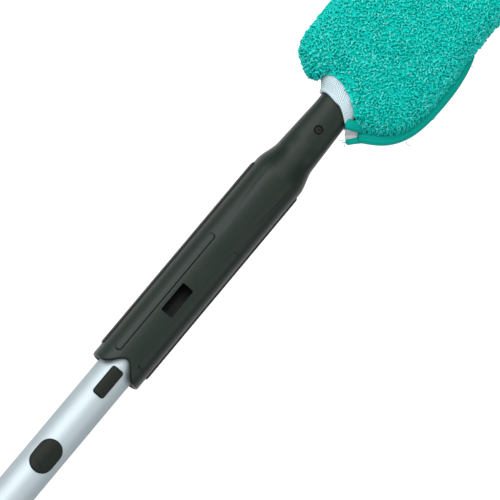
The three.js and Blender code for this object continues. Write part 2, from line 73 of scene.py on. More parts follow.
mouth_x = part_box("handle_front_shell")[0].x
tube_low, tube_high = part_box("upper_tube")
origin = Vector((mouth_x, (tube_low.y + tube_high.y) / 2, (tube_low.z + tube_high.z) / 2))


def at(x, y=0.0, z=0.0):
    """A place given in millimetres from the socket's mouth, on the pole's axis: x towards the
    wand's tip, y across, and z out of the side with the latch."""
    return origin + Vector((x, y, z)) * MM


camera_back = Vector((-math.sin(TOWARDS_POLE), math.sin(TOWARDS_LEFT), 1)).normalized()
along_pole = (Vector((1, 0, 0)) - camera_back * camera_back.x).normalized()
across_pole = camera_back.cross(along_pole)
view_right = along_pole * math.cos(VIEW_ROLL) - across_pole * math.sin(VIEW_ROLL)
view_up = along_pole * math.sin(VIEW_ROLL) + across_pole * math.cos(VIEW_ROLL)
view_axes = Matrix((view_right, view_up, camera_back)).transposed()

bpy.ops.object.camera_add()
camera = bpy.context.object
camera.name = "view_camera"
camera.data.sensor_width = 36
camera.data.lens = camera.data.sensor_width * VIEW_DISTANCE / VIEW_WIDTH
camera.data.clip_end = 50
camera.matrix_world = (
    Matrix.Translation(at(*VIEW_MIDDLE) + camera_back * VIEW_DISTANCE) @ view_axes.to_4x4()
)
bpy.context.scene.camera = camera
bpy.context.scene.view_settings.view_transform = "Standard"


class Reading:
    """A number that changes over a surface, with Python's own arithmetic."""

    def __init__(self, finish, socket):
        self.finish = finish
        self.socket = socket

    def join(self, operation, first, second):
        return self.finish.step("ShaderNodeMath", {"operation": operation}, first, second)

    def __add__(self, other):
        return self.join("ADD", self, other)

    def __radd__(self, other):
        return self.join("ADD", other, self)

    def __mul__(self, other):
        return self.join("MULTIPLY", self, other)

    def __rmul__(self, other):
        return self.join("MULTIPLY", other, self)


class Finish:
    """A material built round one Principled shader. step() makes any node and reads its output."""

    def __init__(self, name, roughness=0.5, metallic=0.0, **fixed):
        self.material = bpy.data.materials.new(name)
        self.material.use_nodes = True
        self.nodes = self.material.node_tree.nodes
        self.links = self.material.node_tree.links
        self.shader = self.nodes["Principled BSDF"]
        self.set("Roughness", roughness)
        self.set("Metallic", metallic)
        for socket, value in fixed.items():
            self.set(socket.replace("_", " "), value)

    def put(self, socket, value):
        if isinstance(value, Reading):
            self.links.new(value.socket, socket)
        elif socket.type == "RGBA":
            socket.default_value = (*value, 1)
        else:
            socket.default_value = value

    def set(self, socket, value):
        self.put(self.shader.inputs[socket], value)

    def step(self, kind, settings, *values, output=0, **named):
        node = self.nodes.new(kind)
        for name, value in settings.items():
            setattr(node, name, value)
        for index, value in enumerate(values):
            self.put(node.inputs[index], value)
        for name, value in named.items():
            self.put(node.inputs[name.replace("_", " ")], value)
        return Reading(self, node.outputs[output])

    def noise(self, scale, detail=2.0, stretch=(1, 1, 1)):
        """Noise on the piece's own coordinates. A stretch under 1 draws it out along that axis."""
        where = self.step("ShaderNodeTexCoord", {}, output="Object")
        stretched = self.step("ShaderNodeMapping", {}, Vector=where, Scale=stretch)
        return self.step("ShaderNodeTexNoise", {}, Vector=stretched, Scale=scale, Detail=detail)

    def mix(self, factor, first, second):
        """Goes from the first colour to the second as the factor goes from 0 to 1."""
        node = self.step("ShaderNodeMix", {"data_type": "RGBA"}, factor).socket.node
        for socket, colour in zip([s for s in node.inputs if s.type == "RGBA"], (first, second)):
            self.put(socket, colour)
        return Reading(self, [s for s in node.outputs if s.type == "RGBA"][0])

    def wave(self, reading, count):
        """Goes up and down between 0 and 1, a count of times as the reading goes from 0 to 1."""
        turn = reading * (2 * math.pi * count)
        return self.step("ShaderNodeMath", {"operation": "COSINE"}, turn) * 0.5 + 0.5

    def bump(self, height, distance, strength):
        self.set("Normal", self.step(
            "ShaderNodeBump", {}, Strength=strength, Distance=distance, Height=height))


def deselect():
    bpy.ops.object.select_all(action="DESELECT")


deselect()
bpy.ops.mesh.primitive_plane_add(size=FLOOR_SIZE, location=(0, 0, -FLOOR_BELOW))
floor = bpy.context.object
floor.name = "studio_floor"
paper = Finish("studio_paper", roughness=0.9)
paper.set("Base Color", (PAPER_GREY, PAPER_GREY, PAPER_GREY))
paper.set("Emission Color", (1, 1, 1))
paper.set("Emission Strength", PAPER_GLOW)
floor.data.materials.append(paper.material)

world = bpy.data.worlds.new("studio_world")
bpy.context.scene.world = world
world.use_nodes = True
backdrop = world.node_tree.nodes["Background"]
backdrop.inputs["Color"].default_value = (1, 1, 1, 1)
backdrop.inputs["Strength"].default_value = SKY_STRENGTH


def soft_light(name, where, towards, size, power):
    """A round lamp. Its size is in metres and its power in watts."""
    deselect()
    bpy.ops.object.light_add(type="AREA", location=where)
    light = bpy.context.object
    light.name = name
    light.data.shape = "DISK"
    light.data.size = size
    light.data.energy = power
    light.rotation_euler = (Vector(where) - Vector(towards)).to_track_quat("Z", "Y").to_euler()


handle_middle = at(100)
soft_light("key_light", at(40, 930, 1480), handle_middle, 1.9, 33)
soft_light("fill_light", at(100, -1150, 1250), handle_middle, 2.0, 14)
soft_light("top_light", at(1150, 260, 1360), handle_middle, 1.0, 10)
soft_light("left_light", at(150, 1500, 700), handle_middle, 1.2, 6)


# ------------------------------------------------------------------ handle shells
# The handle is two moulded shells of charcoal glass-filled plastic, parted along its sides.
# Raised ribs stand beside a flat front panel, with the lug's window in it, and the lip of the
# socket is scalloped for the button. The shells narrow to an oval neck.
BODY_WIDTH, BODY_HEIGHT = 17.9, 17.5
NECK_WIDTH, NECK_HEIGHT = 14.1, 11.8
NECK_END_WIDTH, NECK_END_HEIGHT = 12.6, 10.2
NECK_STEP, NECK_STEP_LENGTH = 0.9, 10.0
SHOULDER_START, SHOULDER_END = 163.0, 181.5
NECK_TAPER_END, HANDLE_END = 216.0, 224.5
SECTION_POWER, NECK_POWER_MORE = 2.35, 0.1
SHELL_WALL, SHELL_EDGE = 4.3, 0.4
PARTING = 89.7
PANEL_HEIGHT, PANEL_FLATNESS, PANEL_HALF_ANGLE = 16.95, 0.4, 24.0
PLAQUE_START, PLAQUE_END, PLAQUE_PROUD = 107.0, 152.0, 0.38
PLAQUE_HALF, PLAQUE_WIDENING, PLAQUE_EDGE = 7.4, 3.4, 2.4
RIB_ANGLE, RIB_HALF, RIB_PROUD, RIB_FLANK = 30.0, 2.05, 1.25, 0.55
RIB_START, RIB_END, RIB_AXIS_DISTANCE = 11.0, 105.6, 18
WINDOW_X, WINDOW_LENGTH, WINDOW_WIDTH = 58.6, 22.0, 8.6
SCALLOP_DEPTH, SCALLOP_HALF, SCALLOP_FADE = 9.6, 13.5, 22
KEYWAY_HALF, KEYWAY_TOP = 4.6, 15.0
BUTTON_RELIEF, BUTTON_RELIEF_TOP = (-1.4, 24.0, 16.6, 8.1), 14.5
LIP_ROUND, LIP_DROP = 1.7, 0.8
NECK_SCREW_X = 201.7
BACK_SCREWS_X = (128, 150)
NECK_RECESS, BACK_RECESS = (2.95, 1.6), (3.7, 3.3)


def smooth(t):
    """An even step from 0 to 1."""
    t = np.clip(t, 0, 1)
    return t * t * (3 - 2 * t)


def spaced(*stretches):
    """Grid lines from one place to the next, each stretch at its own step."""
    lines = [np.array([stretches[0][0]])]
    for low, high, step in stretches:
        count = max(1, round((high - low) / step))
        lines.append(np.linspace(low, high, count + 1)[1:])
    return np.concatenate(lines)


def round_pole(x, radius, angle):
    """A place at a distance from the pole's axis. The angle is in degrees from the front."""
    turn = np.radians(angle)
    return np.stack(np.broadcast_arrays(x, radius * np.sin(turn), radius * np.cos(turn)), axis=-1)


def handle_radius(x, angle):
    """Distance of the handle's surface from its axis."""
    shoulder = smooth((x - SHOULDER_START) / (SHOULDER_END - SHOULDER_START))
    taper = np.clip((x - SHOULDER_END) / (NECK_TAPER_END - SHOULDER_END), 0, 1)
    neck_width = NECK_WIDTH + (NECK_END_WIDTH - NECK_WIDTH) * taper
    neck_height = NECK_HEIGHT + (NECK_END_HEIGHT - NECK_HEIGHT) * taper
    width = BODY_WIDTH + (neck_width - BODY_WIDTH) * shoulder
    neck_height = neck_height + NECK_STEP * (1 - smooth((x - SHOULDER_END - 1) / NECK_STEP_LENGTH))
    height = BODY_HEIGHT + (neck_height - BODY_HEIGHT) * smooth(
        (x - SHOULDER_START + 4) / (SHOULDER_END - SHOULDER_START + 6))
    power = SECTION_POWER + NECK_POWER_MORE * shoulder
    sine, cosine = np.sin(np.radians(angle)), np.cos(np.radians(angle))
    return ((abs(sine) / width) ** power + (abs(cosine) / height) ** power) ** (-1 / power)


def ribs(x, angle):
    """How far the two round-ended ribs stand out."""
    arc = (abs(angle) - RIB_ANGLE) * math.pi / 180 * RIB_AXIS_DISTANCE
    past_end = np.maximum(np.maximum(RIB_START + RIB_HALF - x, x - RIB_END + RIB_HALF), 0)
    reach = np.hypot(arc, past_end)
    return RIB_PROUD * smooth((RIB_HALF + 0.25 - reach) / RIB_FLANK)


def rolled_lip(distance):
    """How far the surface drops at a distance in from the socket's lip."""
    t = np.clip(1 - distance / LIP_ROUND, 0, 1)
    return LIP_ROUND * (1 - np.sqrt(1 - t * t)) * LIP_DROP


def recess(x, across, centre, shape):
    """Change of height at a screw's round recess."""
    radius, depth = shape
    reach = np.hypot(x - centre, across)
    return -depth * smooth((radius + 0.15 - reach) / 0.4)


def front_surface(x, angle):
    """The front shell: its flat panel, the plaque above it, the ribs and the screw's recess."""
    across = handle_radius(x, angle) * np.sin(np.radians(angle))
    t = np.clip(abs(across) / SCALLOP_HALF, 0, 1)
    lip_distance = x
    x = x + SCALLOP_DEPTH * (1 - smooth(t)) * (1 - smooth(x / SCALLOP_FADE))
    radius = handle_radius(x, angle)
    flat = PANEL_HEIGHT / np.cos(np.radians(np.clip(angle, -60, 60)))
    near = PANEL_FLATNESS * smooth((PANEL_HALF_ANGLE - abs(angle)) / 3)
    near = near * (1 - smooth((x - 150) / 25))
    radius = radius + (np.minimum(radius, flat) - radius) * near
    across = radius * np.sin(np.radians(angle))
    border = PLAQUE_HALF + PLAQUE_WIDENING * smooth((x - PLAQUE_START - 1) / 44)
    shown = smooth((x - PLAQUE_START) / 14) * (1 - smooth((x - PLAQUE_END) / 22))
    radius = radius + PLAQUE_PROUD * shown * smooth((border - abs(across)) / PLAQUE_EDGE)
    radius = radius + ribs(x, angle) - rolled_lip(lip_distance)
    placed = round_pole(x, radius, angle)
    placed[..., 2] += recess(x, placed[..., 1], NECK_SCREW_X, NECK_RECESS)
    return placed


def back_surface(x, angle):
    """The back shell: plain but for its ribs and the recesses of the two screws."""
    placed = round_pole(x, handle_radius(x, angle) + ribs(x, angle) - rolled_lip(x), angle)
    for screw_x in BACK_SCREWS_X:
        placed[..., 2] += recess(x, placed[..., 1], screw_x, BACK_RECESS)
    placed[..., 2] *= -1
    return placed


def shaped_grid(name, places, merge=0.004):
    """A grid with each corner put in its place, in millimetres from the socket's mouth."""
    rows, columns = places.shape[:2]
    deselect()
    bpy.ops.mesh.primitive_grid_add(x_subdivisions=columns - 1, y_subdivisions=rows - 1, size=2)
    piece = bpy.context.object
    piece.name = name
    corners = np.zeros(rows * columns * 3)
    piece.data.vertices.foreach_get("co", corners)
    corners = corners.reshape(-1, 3)
    column = np.rint((corners[:, 0] + 1) / 2 * (columns - 1)).astype(int)
    row = np.rint((corners[:, 1] + 1) / 2 * (rows - 1)).astype(int)
    placed = places[row, column] * MM + np.array(origin)
    piece.data.vertices.foreach_set("co", placed.ravel())
    bpy.ops.object.mode_set(mode="EDIT")
    bpy.ops.mesh.select_all(action="SELECT")
    bpy.ops.mesh.remove_doubles(threshold=merge * MM)
    bpy.ops.mesh.normals_make_consistent(inside=False)
    bpy.ops.object.mode_set(mode="OBJECT")
    return piece


def pick(piece, *others):
    """Selects some pieces, with the first of them active."""
    deselect()
    for one in (piece, *others):
        one.select_set(True)
    bpy.context.view_layer.objects.active = piece


def modify(piece, kind, **settings):
    """Adds one modifier and applies it."""
    pick(piece)
    modifier = piece.modifiers.new(kind.lower(), kind)
    for name, value in settings.items():
        setattr(modifier, name, value)
    bpy.ops.object.modifier_apply(modifier=modifier.name)


def smooth_shading(piece, angle):
    """Smooths a piece, but for edges sharper than an angle in degrees."""
    pick(piece)
    bpy.ops.object.shade_smooth_by_angle(angle=math.radians(angle))


def cut(piece, cutter):
    """Takes one piece out of another."""
    modify(piece, "BOOLEAN", operation="DIFFERENCE", object=cutter, solver="EXACT")
    pick(cutter)
    bpy.ops.object.delete()


def round_cornered(x, length, width, corner, count=112):
    """Evenly spaced points round a rectangle with round corners."""
    corner = max(min(corner, width / 2), 0)
    quarter = np.radians(np.linspace(0, 90, 13))
    outline = []
    for turn, (right, up) in zip((0, 90, 180, 270), ((1, 1), (-1, 1), (-1, -1), (1, -1))):
        centre = np.array([right * (length / 2 - corner), up * (width / 2 - corner)])
        angle = quarter + math.radians(turn)
        outline.append(centre + corner * np.stack([np.cos(angle), np.sin(angle)], 1))
    outline = np.concatenate([[[length / 2, 0]], *outline, [[length / 2, 0]]])
    walked = np.concatenate([[0], np.cumsum(np.hypot(*np.diff(outline, axis=0).T))])
    stops = np.linspace(0, walked[-1], count + 1)
    along, across = (np.interp(stops, walked, column) for column in outline.T)
    return np.stack([x + along, across], 1)


def ring_at(outline, z):
    """An outline seen from the front, at a height or at heights."""
    return np.column_stack([outline, np.broadcast_to(z, len(outline))])


def block(outline, low, high):
    """A straight-sided cutter on an outline, between two heights."""
    middle = np.broadcast_to(outline.mean(axis=0), outline.shape)
    rings = ((middle, low), (outline, low), (outline, high), (middle, high))
    return shaped_grid("cutter", np.stack([ring_at(*ring) for ring in rings]))


half_angles = spaced((0, 19, 1.6), (19, 41, 0.75), (41, PARTING, 2.4))
round_angles = np.concatenate([-half_angles[:0:-1], half_angles])
front_x = spaced(
    (0, 1.8, 0.3), (1.8, 7, 1), (7, 16, 0.45), (16, 100, 3), (100, 108, 0.45), (108, 158, 2),
    (158, 186, 1), (186, 197.5, 1.5), (197.5, 206, 0.34), (206, HANDLE_END, 1.5))
back_x = spaced(
    (0, 1.8, 0.3), (1.8, 7, 2), (7, 16, 0.6), (16, 100, 5), (100, 108, 0.6), (108, 123, 3),
    (123, 133, 0.4), (133, 145, 3), (145, 155, 0.4), (155, 158, 1.5), (158, 186, 1.2),
    (186, HANDLE_END, 2))

moulded = Finish("moulded_charcoal", Specular_IOR_Level=0.24)
grain = moulded.noise(1700, detail=3)
clouds = moulded.noise(38, detail=3)
moulded.set("Base Color", moulded.mix(
    clouds * 0.7 + grain * 0.3, (0.0030, 0.0080, 0.0052), (0.0065, 0.0155, 0.0108)))
moulded.set("Roughness", 0.30 + grain * 0.10 + clouds * 0.10)
moulded.bump(grain, 0.04 * MM, 0.5)

window_outline = round_cornered(WINDOW_X, WINDOW_LENGTH, WINDOW_WIDTH, 1.0, 72)
keyway_outline = round_cornered(WINDOW_X / 2 - 0.5, WINDOW_X + 1, 2 * KEYWAY_HALF, 0.3, 72)
button_outline = round_cornered(*BUTTON_RELIEF, 72)
for name, lines, surface in (("front", front_x, front_surface), ("back", back_x, back_surface)):
    shell = shaped_grid(f"handle_{name}", surface(lines[:, None], round_angles[None, :]))
    middle_face = shell.data.polygons[len(shell.data.polygons) // 2]
    on_axis = Vector((middle_face.center.x, *origin.yz))
    if middle_face.normal.dot(middle_face.center - on_axis) < 0:
        pick(shell)
        bpy.ops.object.mode_set(mode="EDIT")
        bpy.ops.mesh.select_all(action="SELECT")
        bpy.ops.mesh.flip_normals()
        bpy.ops.object.mode_set(mode="OBJECT")
    modify(shell, "SOLIDIFY", thickness=SHELL_WALL * MM, offset=-1, use_rim=True)
    if name == "front":
        cut(shell, block(window_outline, 5, 20))
    modify(
        shell, "BEVEL", width=SHELL_EDGE * MM, segments=2, limit_method="ANGLE",
        angle_limit=math.radians(62), use_clamp_overlap=True)
    if name == "front":
        cut(shell, block(keyway_outline, 2, KEYWAY_TOP))
        cut(shell, block(button_outline, 2, BUTTON_RELIEF_TOP))
    smooth_shading(shell, 50)
    shell.data.materials.append(moulded.material)
    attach(shell, "wand")
    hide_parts(f"handle_{name}_shell")

# ------------------------------------------------------------------ side grips
# A strip of soft black rubber lies along each side of the handle, over the parting line.
# Its edges and ends are rounded, and it stands a little proud under the fingers.
STRIP_START, STRIP_END = 9.3, 160.0
STRIP_HALF_ANGLE = 15.5
STRIP_PROUD, STRIP_GAP = 0.95, 0.03
STRIP_ROUND = 3


def side_strip(name, side):
    """A strip on the left (1) or the right (-1): its outside, then its inside on the shells."""
    round_start, round_end = STRIP_START + STRIP_ROUND, STRIP_END - STRIP_ROUND
    x = spaced(
        (STRIP_START, round_start, 0.25), (round_start, round_end, 4),
        (round_end, STRIP_END, 0.25))[:, None]
    turn = np.sin(np.linspace(-math.pi / 2, math.pi / 2, 15))
    from_end = np.minimum(x - STRIP_START, STRIP_END - x)
    end_round = (1 - np.clip(1 - from_end / STRIP_ROUND, 0, 1) ** 3) ** (1 / 3)
    edge_round = (1 - abs(turn) ** 5) ** (1 / 5)
    angle = side * (90 + turn * STRIP_HALF_ANGLE)
    skin = handle_radius(x, angle) + STRIP_GAP
    outside = round_pole(x, skin + STRIP_PROUD * end_round * edge_round, angle)
    inside = round_pole(x, skin, angle)
    return shaped_grid(name, np.concatenate([outside, inside[:, ::-1]], axis=1))


rubber = Finish("grip_rubber", Specular_IOR_Level=0.3)
rubber_grain = rubber.noise(1500, detail=2)
rubber.set("Base Color", rubber.mix(
    rubber.noise(60), (0.0060, 0.0068, 0.0064), (0.0125, 0.0140, 0.0132)))
rubber.set("Roughness", 0.52 + rubber_grain * 0.16)
rubber.bump(rubber_grain, 0.05 * MM, 0.6)

for name, side in (("left", 1), ("right", -1)):
    strip = side_strip(f"side_strip_{name}", side)
    smooth_shading(strip, 50)
    strip.data.materials.append(rubber.material)
    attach(strip, "wand")
    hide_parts(f"side_grip_{name}")

# ------------------------------------------------------------------ screws
# One blackened cross-head screw in a recess on the neck holds the frame's tang, and two in the
# back of the body hold the shells together. Their heads are coloured darker still, as painted
# shade of the recesses.
HEAD_ROUND = 0.7
SHANK_LENGTH, SHANK_RADIUS = 6, 1.2
NECK_HEAD = {"height": 1.0, "radius": 2.3, "side": 1}
BACK_HEAD = {"height": 1.5, "radius": 3.2, "side": -1}


def turned(name, profile, sides, along=(1, 0, 0), centre=(0, 0, 0)):
    """A profile of (distance, radius) points, turned about a line through a centre."""
    axis = np.array(along, float)
    first = np.cross(axis, (0, 1, 0) if abs(axis[1]) < 0.5 else (1, 0, 0))
    second = np.cross(axis, first)
    profile = np.array(profile, float)
    angle = np.linspace(0, 2 * math.pi, sides + 1)
    ring = np.cos(angle)[:, None] * first + np.sin(angle)[:, None] * second
    distance, radius = profile.T[..., None, None]
    return shaped_grid(name, np.array(centre) + distance * axis + radius * ring[None])


def eased(points, radius, steps=4):
    """The same profile with each inner corner rounded."""
    points = [np.array(p, float) for p in points]
    result = [points[0]]
    for before, corner, after in zip(points, points[1:], points[2:]):
        into, out = before - corner, after - corner
        reach = min(radius, np.linalg.norm(into) * 0.45, np.linalg.norm(out) * 0.45)
        start = corner + into / np.linalg.norm(into) * reach
        finish = corner + out / np.linalg.norm(out) * reach
        for t in np.linspace(0, 1, steps + 1):
            result.append((1 - t) ** 2 * start + 2 * t * (1 - t) * corner + t * t * finish)
    return result + [points[-1]]


def cross_screw(name, x, floor, height, radius, side):
    """A pan head over a short shank, with a cross sunk in it. Its floor is its recess's."""
    profile = eased([
        (-SHANK_LENGTH, 0), (-SHANK_LENGTH, SHANK_RADIUS), (0, SHANK_RADIUS + 0.1), (0, radius),
        (height, radius), (height * 1.05, 0)], HEAD_ROUND)
    head = turned(name, profile, 36, along=(0, 0, side), centre=(x, 0, side * floor))
    for turn in (0, 90):
        deselect()
        top = at(x, 0, side * (floor + height))
        bpy.ops.mesh.primitive_cube_add(size=1, location=top)
        blade = bpy.context.object
        blade.scale = (radius * 1.15 * MM, radius * 0.36 * MM, height * 1.5 * MM)
        blade.rotation_euler = (0, 0, math.radians(turn + 20))
        bpy.ops.object.transform_apply(location=True, rotation=True, scale=True)
        cut(head, blade)
    return head


# Painted shade: the heads' near-black colour is partly the blackened steel and partly the shade of
# the recesses they sit in, painted into it.
black_steel_and_shade = Finish("blackened_steel_and_shade", metallic=0.5, Specular_IOR_Level=0.2)
wear = black_steel_and_shade.noise(700, detail=3)
black_steel_and_shade.set("Base Color", black_steel_and_shade.mix(wear, (0.004, 0.005, 0.004), (0.022, 0.024, 0.022)))
black_steel_and_shade.set("Roughness", 0.32 + wear * 0.25)

neck_floor = handle_radius(NECK_SCREW_X, 0) - NECK_RECESS[1]
back_floor = BODY_HEIGHT - BACK_RECESS[1]
for name, screw_x, floor_z, sizes in (
        ("neck_screw", NECK_SCREW_X, neck_floor, NECK_HEAD),
        ("shell_screw_1", BACK_SCREWS_X[0], back_floor, BACK_HEAD),
        ("shell_screw_2", BACK_SCREWS_X[1], back_floor, BACK_HEAD)):
    head = cross_screw(f"{name}_head", screw_x, floor_z, **sizes)
    smooth_shading(head, 35)
    head.data.materials.append(black_steel_and_shade.material)
    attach(head, "wand")
    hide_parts(name)

# ------------------------------------------------------------------ upper tube
# The upper tube is drawn aluminium, satin anodised, with faint draw lines along it. One slot
# lets the lug out and a rounder one the button. A plastic plug closes its tip.
TUBE_RADIUS, TUBE_WALL, TUBE_EDGE = 12.7, 1.4, 0.3
TUBE_FOOT, TUBE_TIP = -442.0, 36.8
LUG = {"x": -8.2, "length": 20.6, "width": 7.9, "corner": 1.5}
BUTTON = {"x": -68.2, "length": 22.6, "width": 15.2, "corner": 7.45}
SLOT_GAP = 0.45
RIVETS_X, RIVET_HOLE_RADIUS = (14, -93), 1.65


def slot_cutter(key):
    """A cutter for a key's slot, a gap wider than the key all round."""
    length, width = key["length"] + 2 * SLOT_GAP, key["width"] + 2 * SLOT_GAP
    return block(round_cornered(key["x"], length, width, key["corner"] + SLOT_GAP, 72), 2, 20)


satin = Finish("satin_aluminium", metallic=0.95, Specular_Tint=(0.30, 0.33, 0.34))
draw_lines = satin.noise(900, detail=2, stretch=(0.012, 1, 1))
bloom = satin.noise(30, detail=2, stretch=(0.3, 1, 1))
satin.set("Base Color", satin.mix(
    draw_lines * 0.5 + bloom * 0.5, (0.41, 0.47, 0.495), (0.47, 0.54, 0.57)))
satin.set("Roughness", 0.54 + draw_lines * 0.10 + bloom * 0.06)
satin.bump(draw_lines, 0.01 * MM, 0.35)

bore = TUBE_RADIUS - TUBE_WALL
upper_tube = turned("upper_tube_drawn", [
    (TUBE_FOOT, bore), (TUBE_FOOT, TUBE_RADIUS - TUBE_EDGE), (TUBE_FOOT + TUBE_EDGE, TUBE_RADIUS),
    (TUBE_TIP - TUBE_EDGE, TUBE_RADIUS), (TUBE_TIP, TUBE_RADIUS - TUBE_EDGE), (TUBE_TIP, bore),
    (TUBE_FOOT, bore)], 128)
for key in (LUG, BUTTON):
    cut(upper_tube, slot_cutter(key))
for rivet_x in RIVETS_X:
    hole = [(5, 0), (5, RIVET_HOLE_RADIUS), (20, RIVET_HOLE_RADIUS), (20, 0)]
    cut(upper_tube, turned("cutter", hole, 24, along=(0, 0, -1), centre=(rivet_x, 0, 0)))
smooth_shading(upper_tube, 30)
upper_tube.data.materials.append(satin.material)
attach(upper_tube, "upper_pole")
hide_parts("upper_tube")

inner = Finish("inner_plastic", Specular_IOR_Level=0.4)
inner_grain = inner.noise(1200)
inner.set("Base Color", inner.mix(inner_grain, (0.008, 0.009, 0.009), (0.016, 0.018, 0.017)))
inner.set("Roughness", 0.42 + inner_grain * 0.15)
inner.bump(inner_grain, 0.03 * MM, 0.4)

plug = turned("tip_plug_moulded", eased([
    (TUBE_TIP - 12, 0), (TUBE_TIP - 12, bore - 1), (TUBE_TIP - 11, bore - 0.3),
    (TUBE_TIP + 0.3, bore - 0.3), (TUBE_TIP + 0.3, TUBE_RADIUS),
    (TUBE_TIP + 1.5, TUBE_RADIUS - 1.3), (TUBE_TIP + 1.5, 6), (TUBE_TIP + 0.6, 5),
    (TUBE_TIP + 0.6, 0)], 0.3), 64)
smooth_shading(plug, 30)
plug.data.materials.append(inner.material)
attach(plug, "upper_pole")
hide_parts("tip_plug")

# ------------------------------------------------------------------ latch
# The lug and the button are moulded in black nylon, with crowned tops that follow the tube.
# The button has a thumb ridge. Its bar, trough and rivets stay hidden in the tube, with the two
# coil springs under the bar, which squash as it is pressed in the real latch; here they only get
# meshes of their own and keep their shape.
KEY_FOOT = 7.3
KEY_EDGE = 0.55
LUG_PROUD, BUTTON_PROUD = 1.9, 1.2
THUMB_RIDGE = {"off_centre": 1.2, "reach": 5.2, "half": 0.32, "height": 0.30, "sweep": 52.0}


def key_top(name, key, top, detail):
    """A post with a crowned top. detail(x, y) is added to the top's height."""
    def ring(inset, drop):
        shape = round_cornered(
            key["x"], key["length"] - 2 * inset, key["width"] - 2 * inset, key["corner"] - inset)
        crown = np.sqrt(top * top - shape[:, 1] ** 2) + detail(shape[:, 0], shape[:, 1])
        return ring_at(shape, crown - drop)

    sides = round_cornered(**key)
    middle = np.broadcast_to((key["x"], 0), sides.shape)
    turns = np.radians(np.linspace(0, 90, 5))
    edges = [ring(KEY_EDGE * (1 - math.cos(t)), KEY_EDGE * (1 - math.sin(t))) for t in turns]
    insets = np.linspace(KEY_EDGE, key["width"] / 2 - 0.001, 24)[1:]
    rings = [ring_at(middle, KEY_FOOT), ring_at(sides, KEY_FOOT)]
    return shaped_grid(name, np.stack(rings + edges + [ring(inset, 0) for inset in insets]))


def thumb_ridge(x, y):
    """Height of the curved ridge towards the button's lower end."""
    centre = BUTTON["x"] - THUMB_RIDGE["off_centre"]
    reach = np.hypot(x - centre, y)
    angle = np.degrees(np.arctan2(abs(y), centre - x))
    ridge = np.exp(-((reach - THUMB_RIDGE["reach"]) / THUMB_RIDGE["half"]) ** 2)
    return THUMB_RIDGE["height"] * ridge * smooth((THUMB_RIDGE["sweep"] - angle) / 14)


nylon = Finish("black_nylon", Specular_IOR_Level=0.14)
pebble = nylon.noise(1300, detail=4)
nylon.set("Base Color", nylon.mix(pebble, (0.0030, 0.0055, 0.0036), (0.0110, 0.0150, 0.0115)))
nylon.set("Roughness", 0.38 + pebble * 0.22)
nylon.bump(pebble, 0.10 * MM, 0.7)

for name, key, top, detail in (
        ("lock_lug", LUG, TUBE_RADIUS + LUG_PROUD, lambda x, y: 0 * x),
        ("release_button", BUTTON, TUBE_RADIUS + BUTTON_PROUD, thumb_ridge)):
    piece = key_top(f"{name}_moulded", key, top, detail)
    smooth_shading(piece, 40)
    piece.data.materials.append(nylon.material)
    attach(piece, "latch")
    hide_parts(name)

spring_steel = Finish("spring_steel", metallic=1.0)
drawn = spring_steel.noise(900, detail=2)
spring_steel.set("Base Color", spring_steel.mix(drawn, (0.42, 0.42, 0.40), (0.62, 0.62, 0.60)))
spring_steel.set("Roughness", 0.28 + drawn * 0.2)


def finish_node(name, material):
    """Gives a node that keeps its own shape its finish."""
    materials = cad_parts[name].data.materials
    materials.clear()
    materials.append(material)


for node in ("latch_bar", "latch_housing"):
    finish_node(node, inner.material)
for node in ("latch_spring_tip", "latch_spring_foot", "housing_rivet_1", "housing_rivet_2"):
    finish_node(node, spring_steel.material)
for node in ("latch_spring_tip", "latch_spring_foot"):
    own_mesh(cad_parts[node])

# ------------------------------------------------------------------ knitted cuff
# A tight cuff knitted in white yarn closes the sleeve on the neck. It flares to the left where the
# sleeve pulls it over, and its fine ribs run up it. Its hidden end is sewn inside the mouth.
CUFF_HIDDEN = 6.0
CUFF_THICK = 1.5
CUFF_WALES, CUFF_COURSES = 82, 14
CUFF_HALF_WIDTH, CUFF_HALF_HEIGHT, CUFF_POWER = 13.1, 10.7, 2.25
CUFF_WIDENS, CUFF_RISES, CUFF_SHIFTS = 2.6, 1.2, 3.1
HEM_RELIEF, STITCH_RELIEF = 0.35, 0.15


def cuff_low(y):
    """Where the cuff's lower edge lies, seen from the front. cuff_high gives the upper one."""
    return 222.4 + 1.7 * smooth((y - 2) / 10) - 6.4 * smooth((1.5 - y) / 15)


def cuff_high(y):
    return 222.5 + 9.6 * smooth((y + 15.5) / 19) + CUFF_HIDDEN


def cuff_skin(rise, turn, offset):
    """The cuff's surface, from its lower edge (rise 0) to the end sewn in the mouth (1)."""
    flare = smooth(rise * 1.5)
    hem = HEM_RELIEF * np.exp(-((rise - 0.05) / 0.05) ** 2)
    grow = offset + hem
    half_width = CUFF_HALF_WIDTH + CUFF_WIDENS * flare + grow
    half_height = CUFF_HALF_HEIGHT + CUFF_RISES * flare + grow
    cosine, sine = np.cos(turn), np.sin(turn)
    across = np.sign(cosine) * abs(cosine) ** (2 / CUFF_POWER) * half_width + CUFF_SHIFTS * flare
    up = np.sign(sine) * abs(sine) ** (2 / CUFF_POWER) * half_height
    x = cuff_low(across) + (cuff_high(across) - cuff_low(across)) * rise
    return np.stack(np.broadcast_arrays(x, across, up), axis=-1)


rise = np.linspace(0, 1, 4 * CUFF_COURSES + 1)[:, None]
turn = np.linspace(0, 2 * math.pi, 4 * CUFF_WALES + 1)[None, :]
wales, courses = np.cos(turn * CUFF_WALES), np.cos(rise * CUFF_COURSES * 2 * math.pi)
stitches = STITCH_RELIEF * (wales * 0.6 + wales * courses)
outside = cuff_skin(rise, turn, CUFF_THICK + stitches)
inside = cuff_skin(rise, turn, 0)
cuff = shaped_grid("knitted_cuff", np.concatenate([outside, inside[::-4], outside[:1]]))
smooth_shading(cuff, 70)

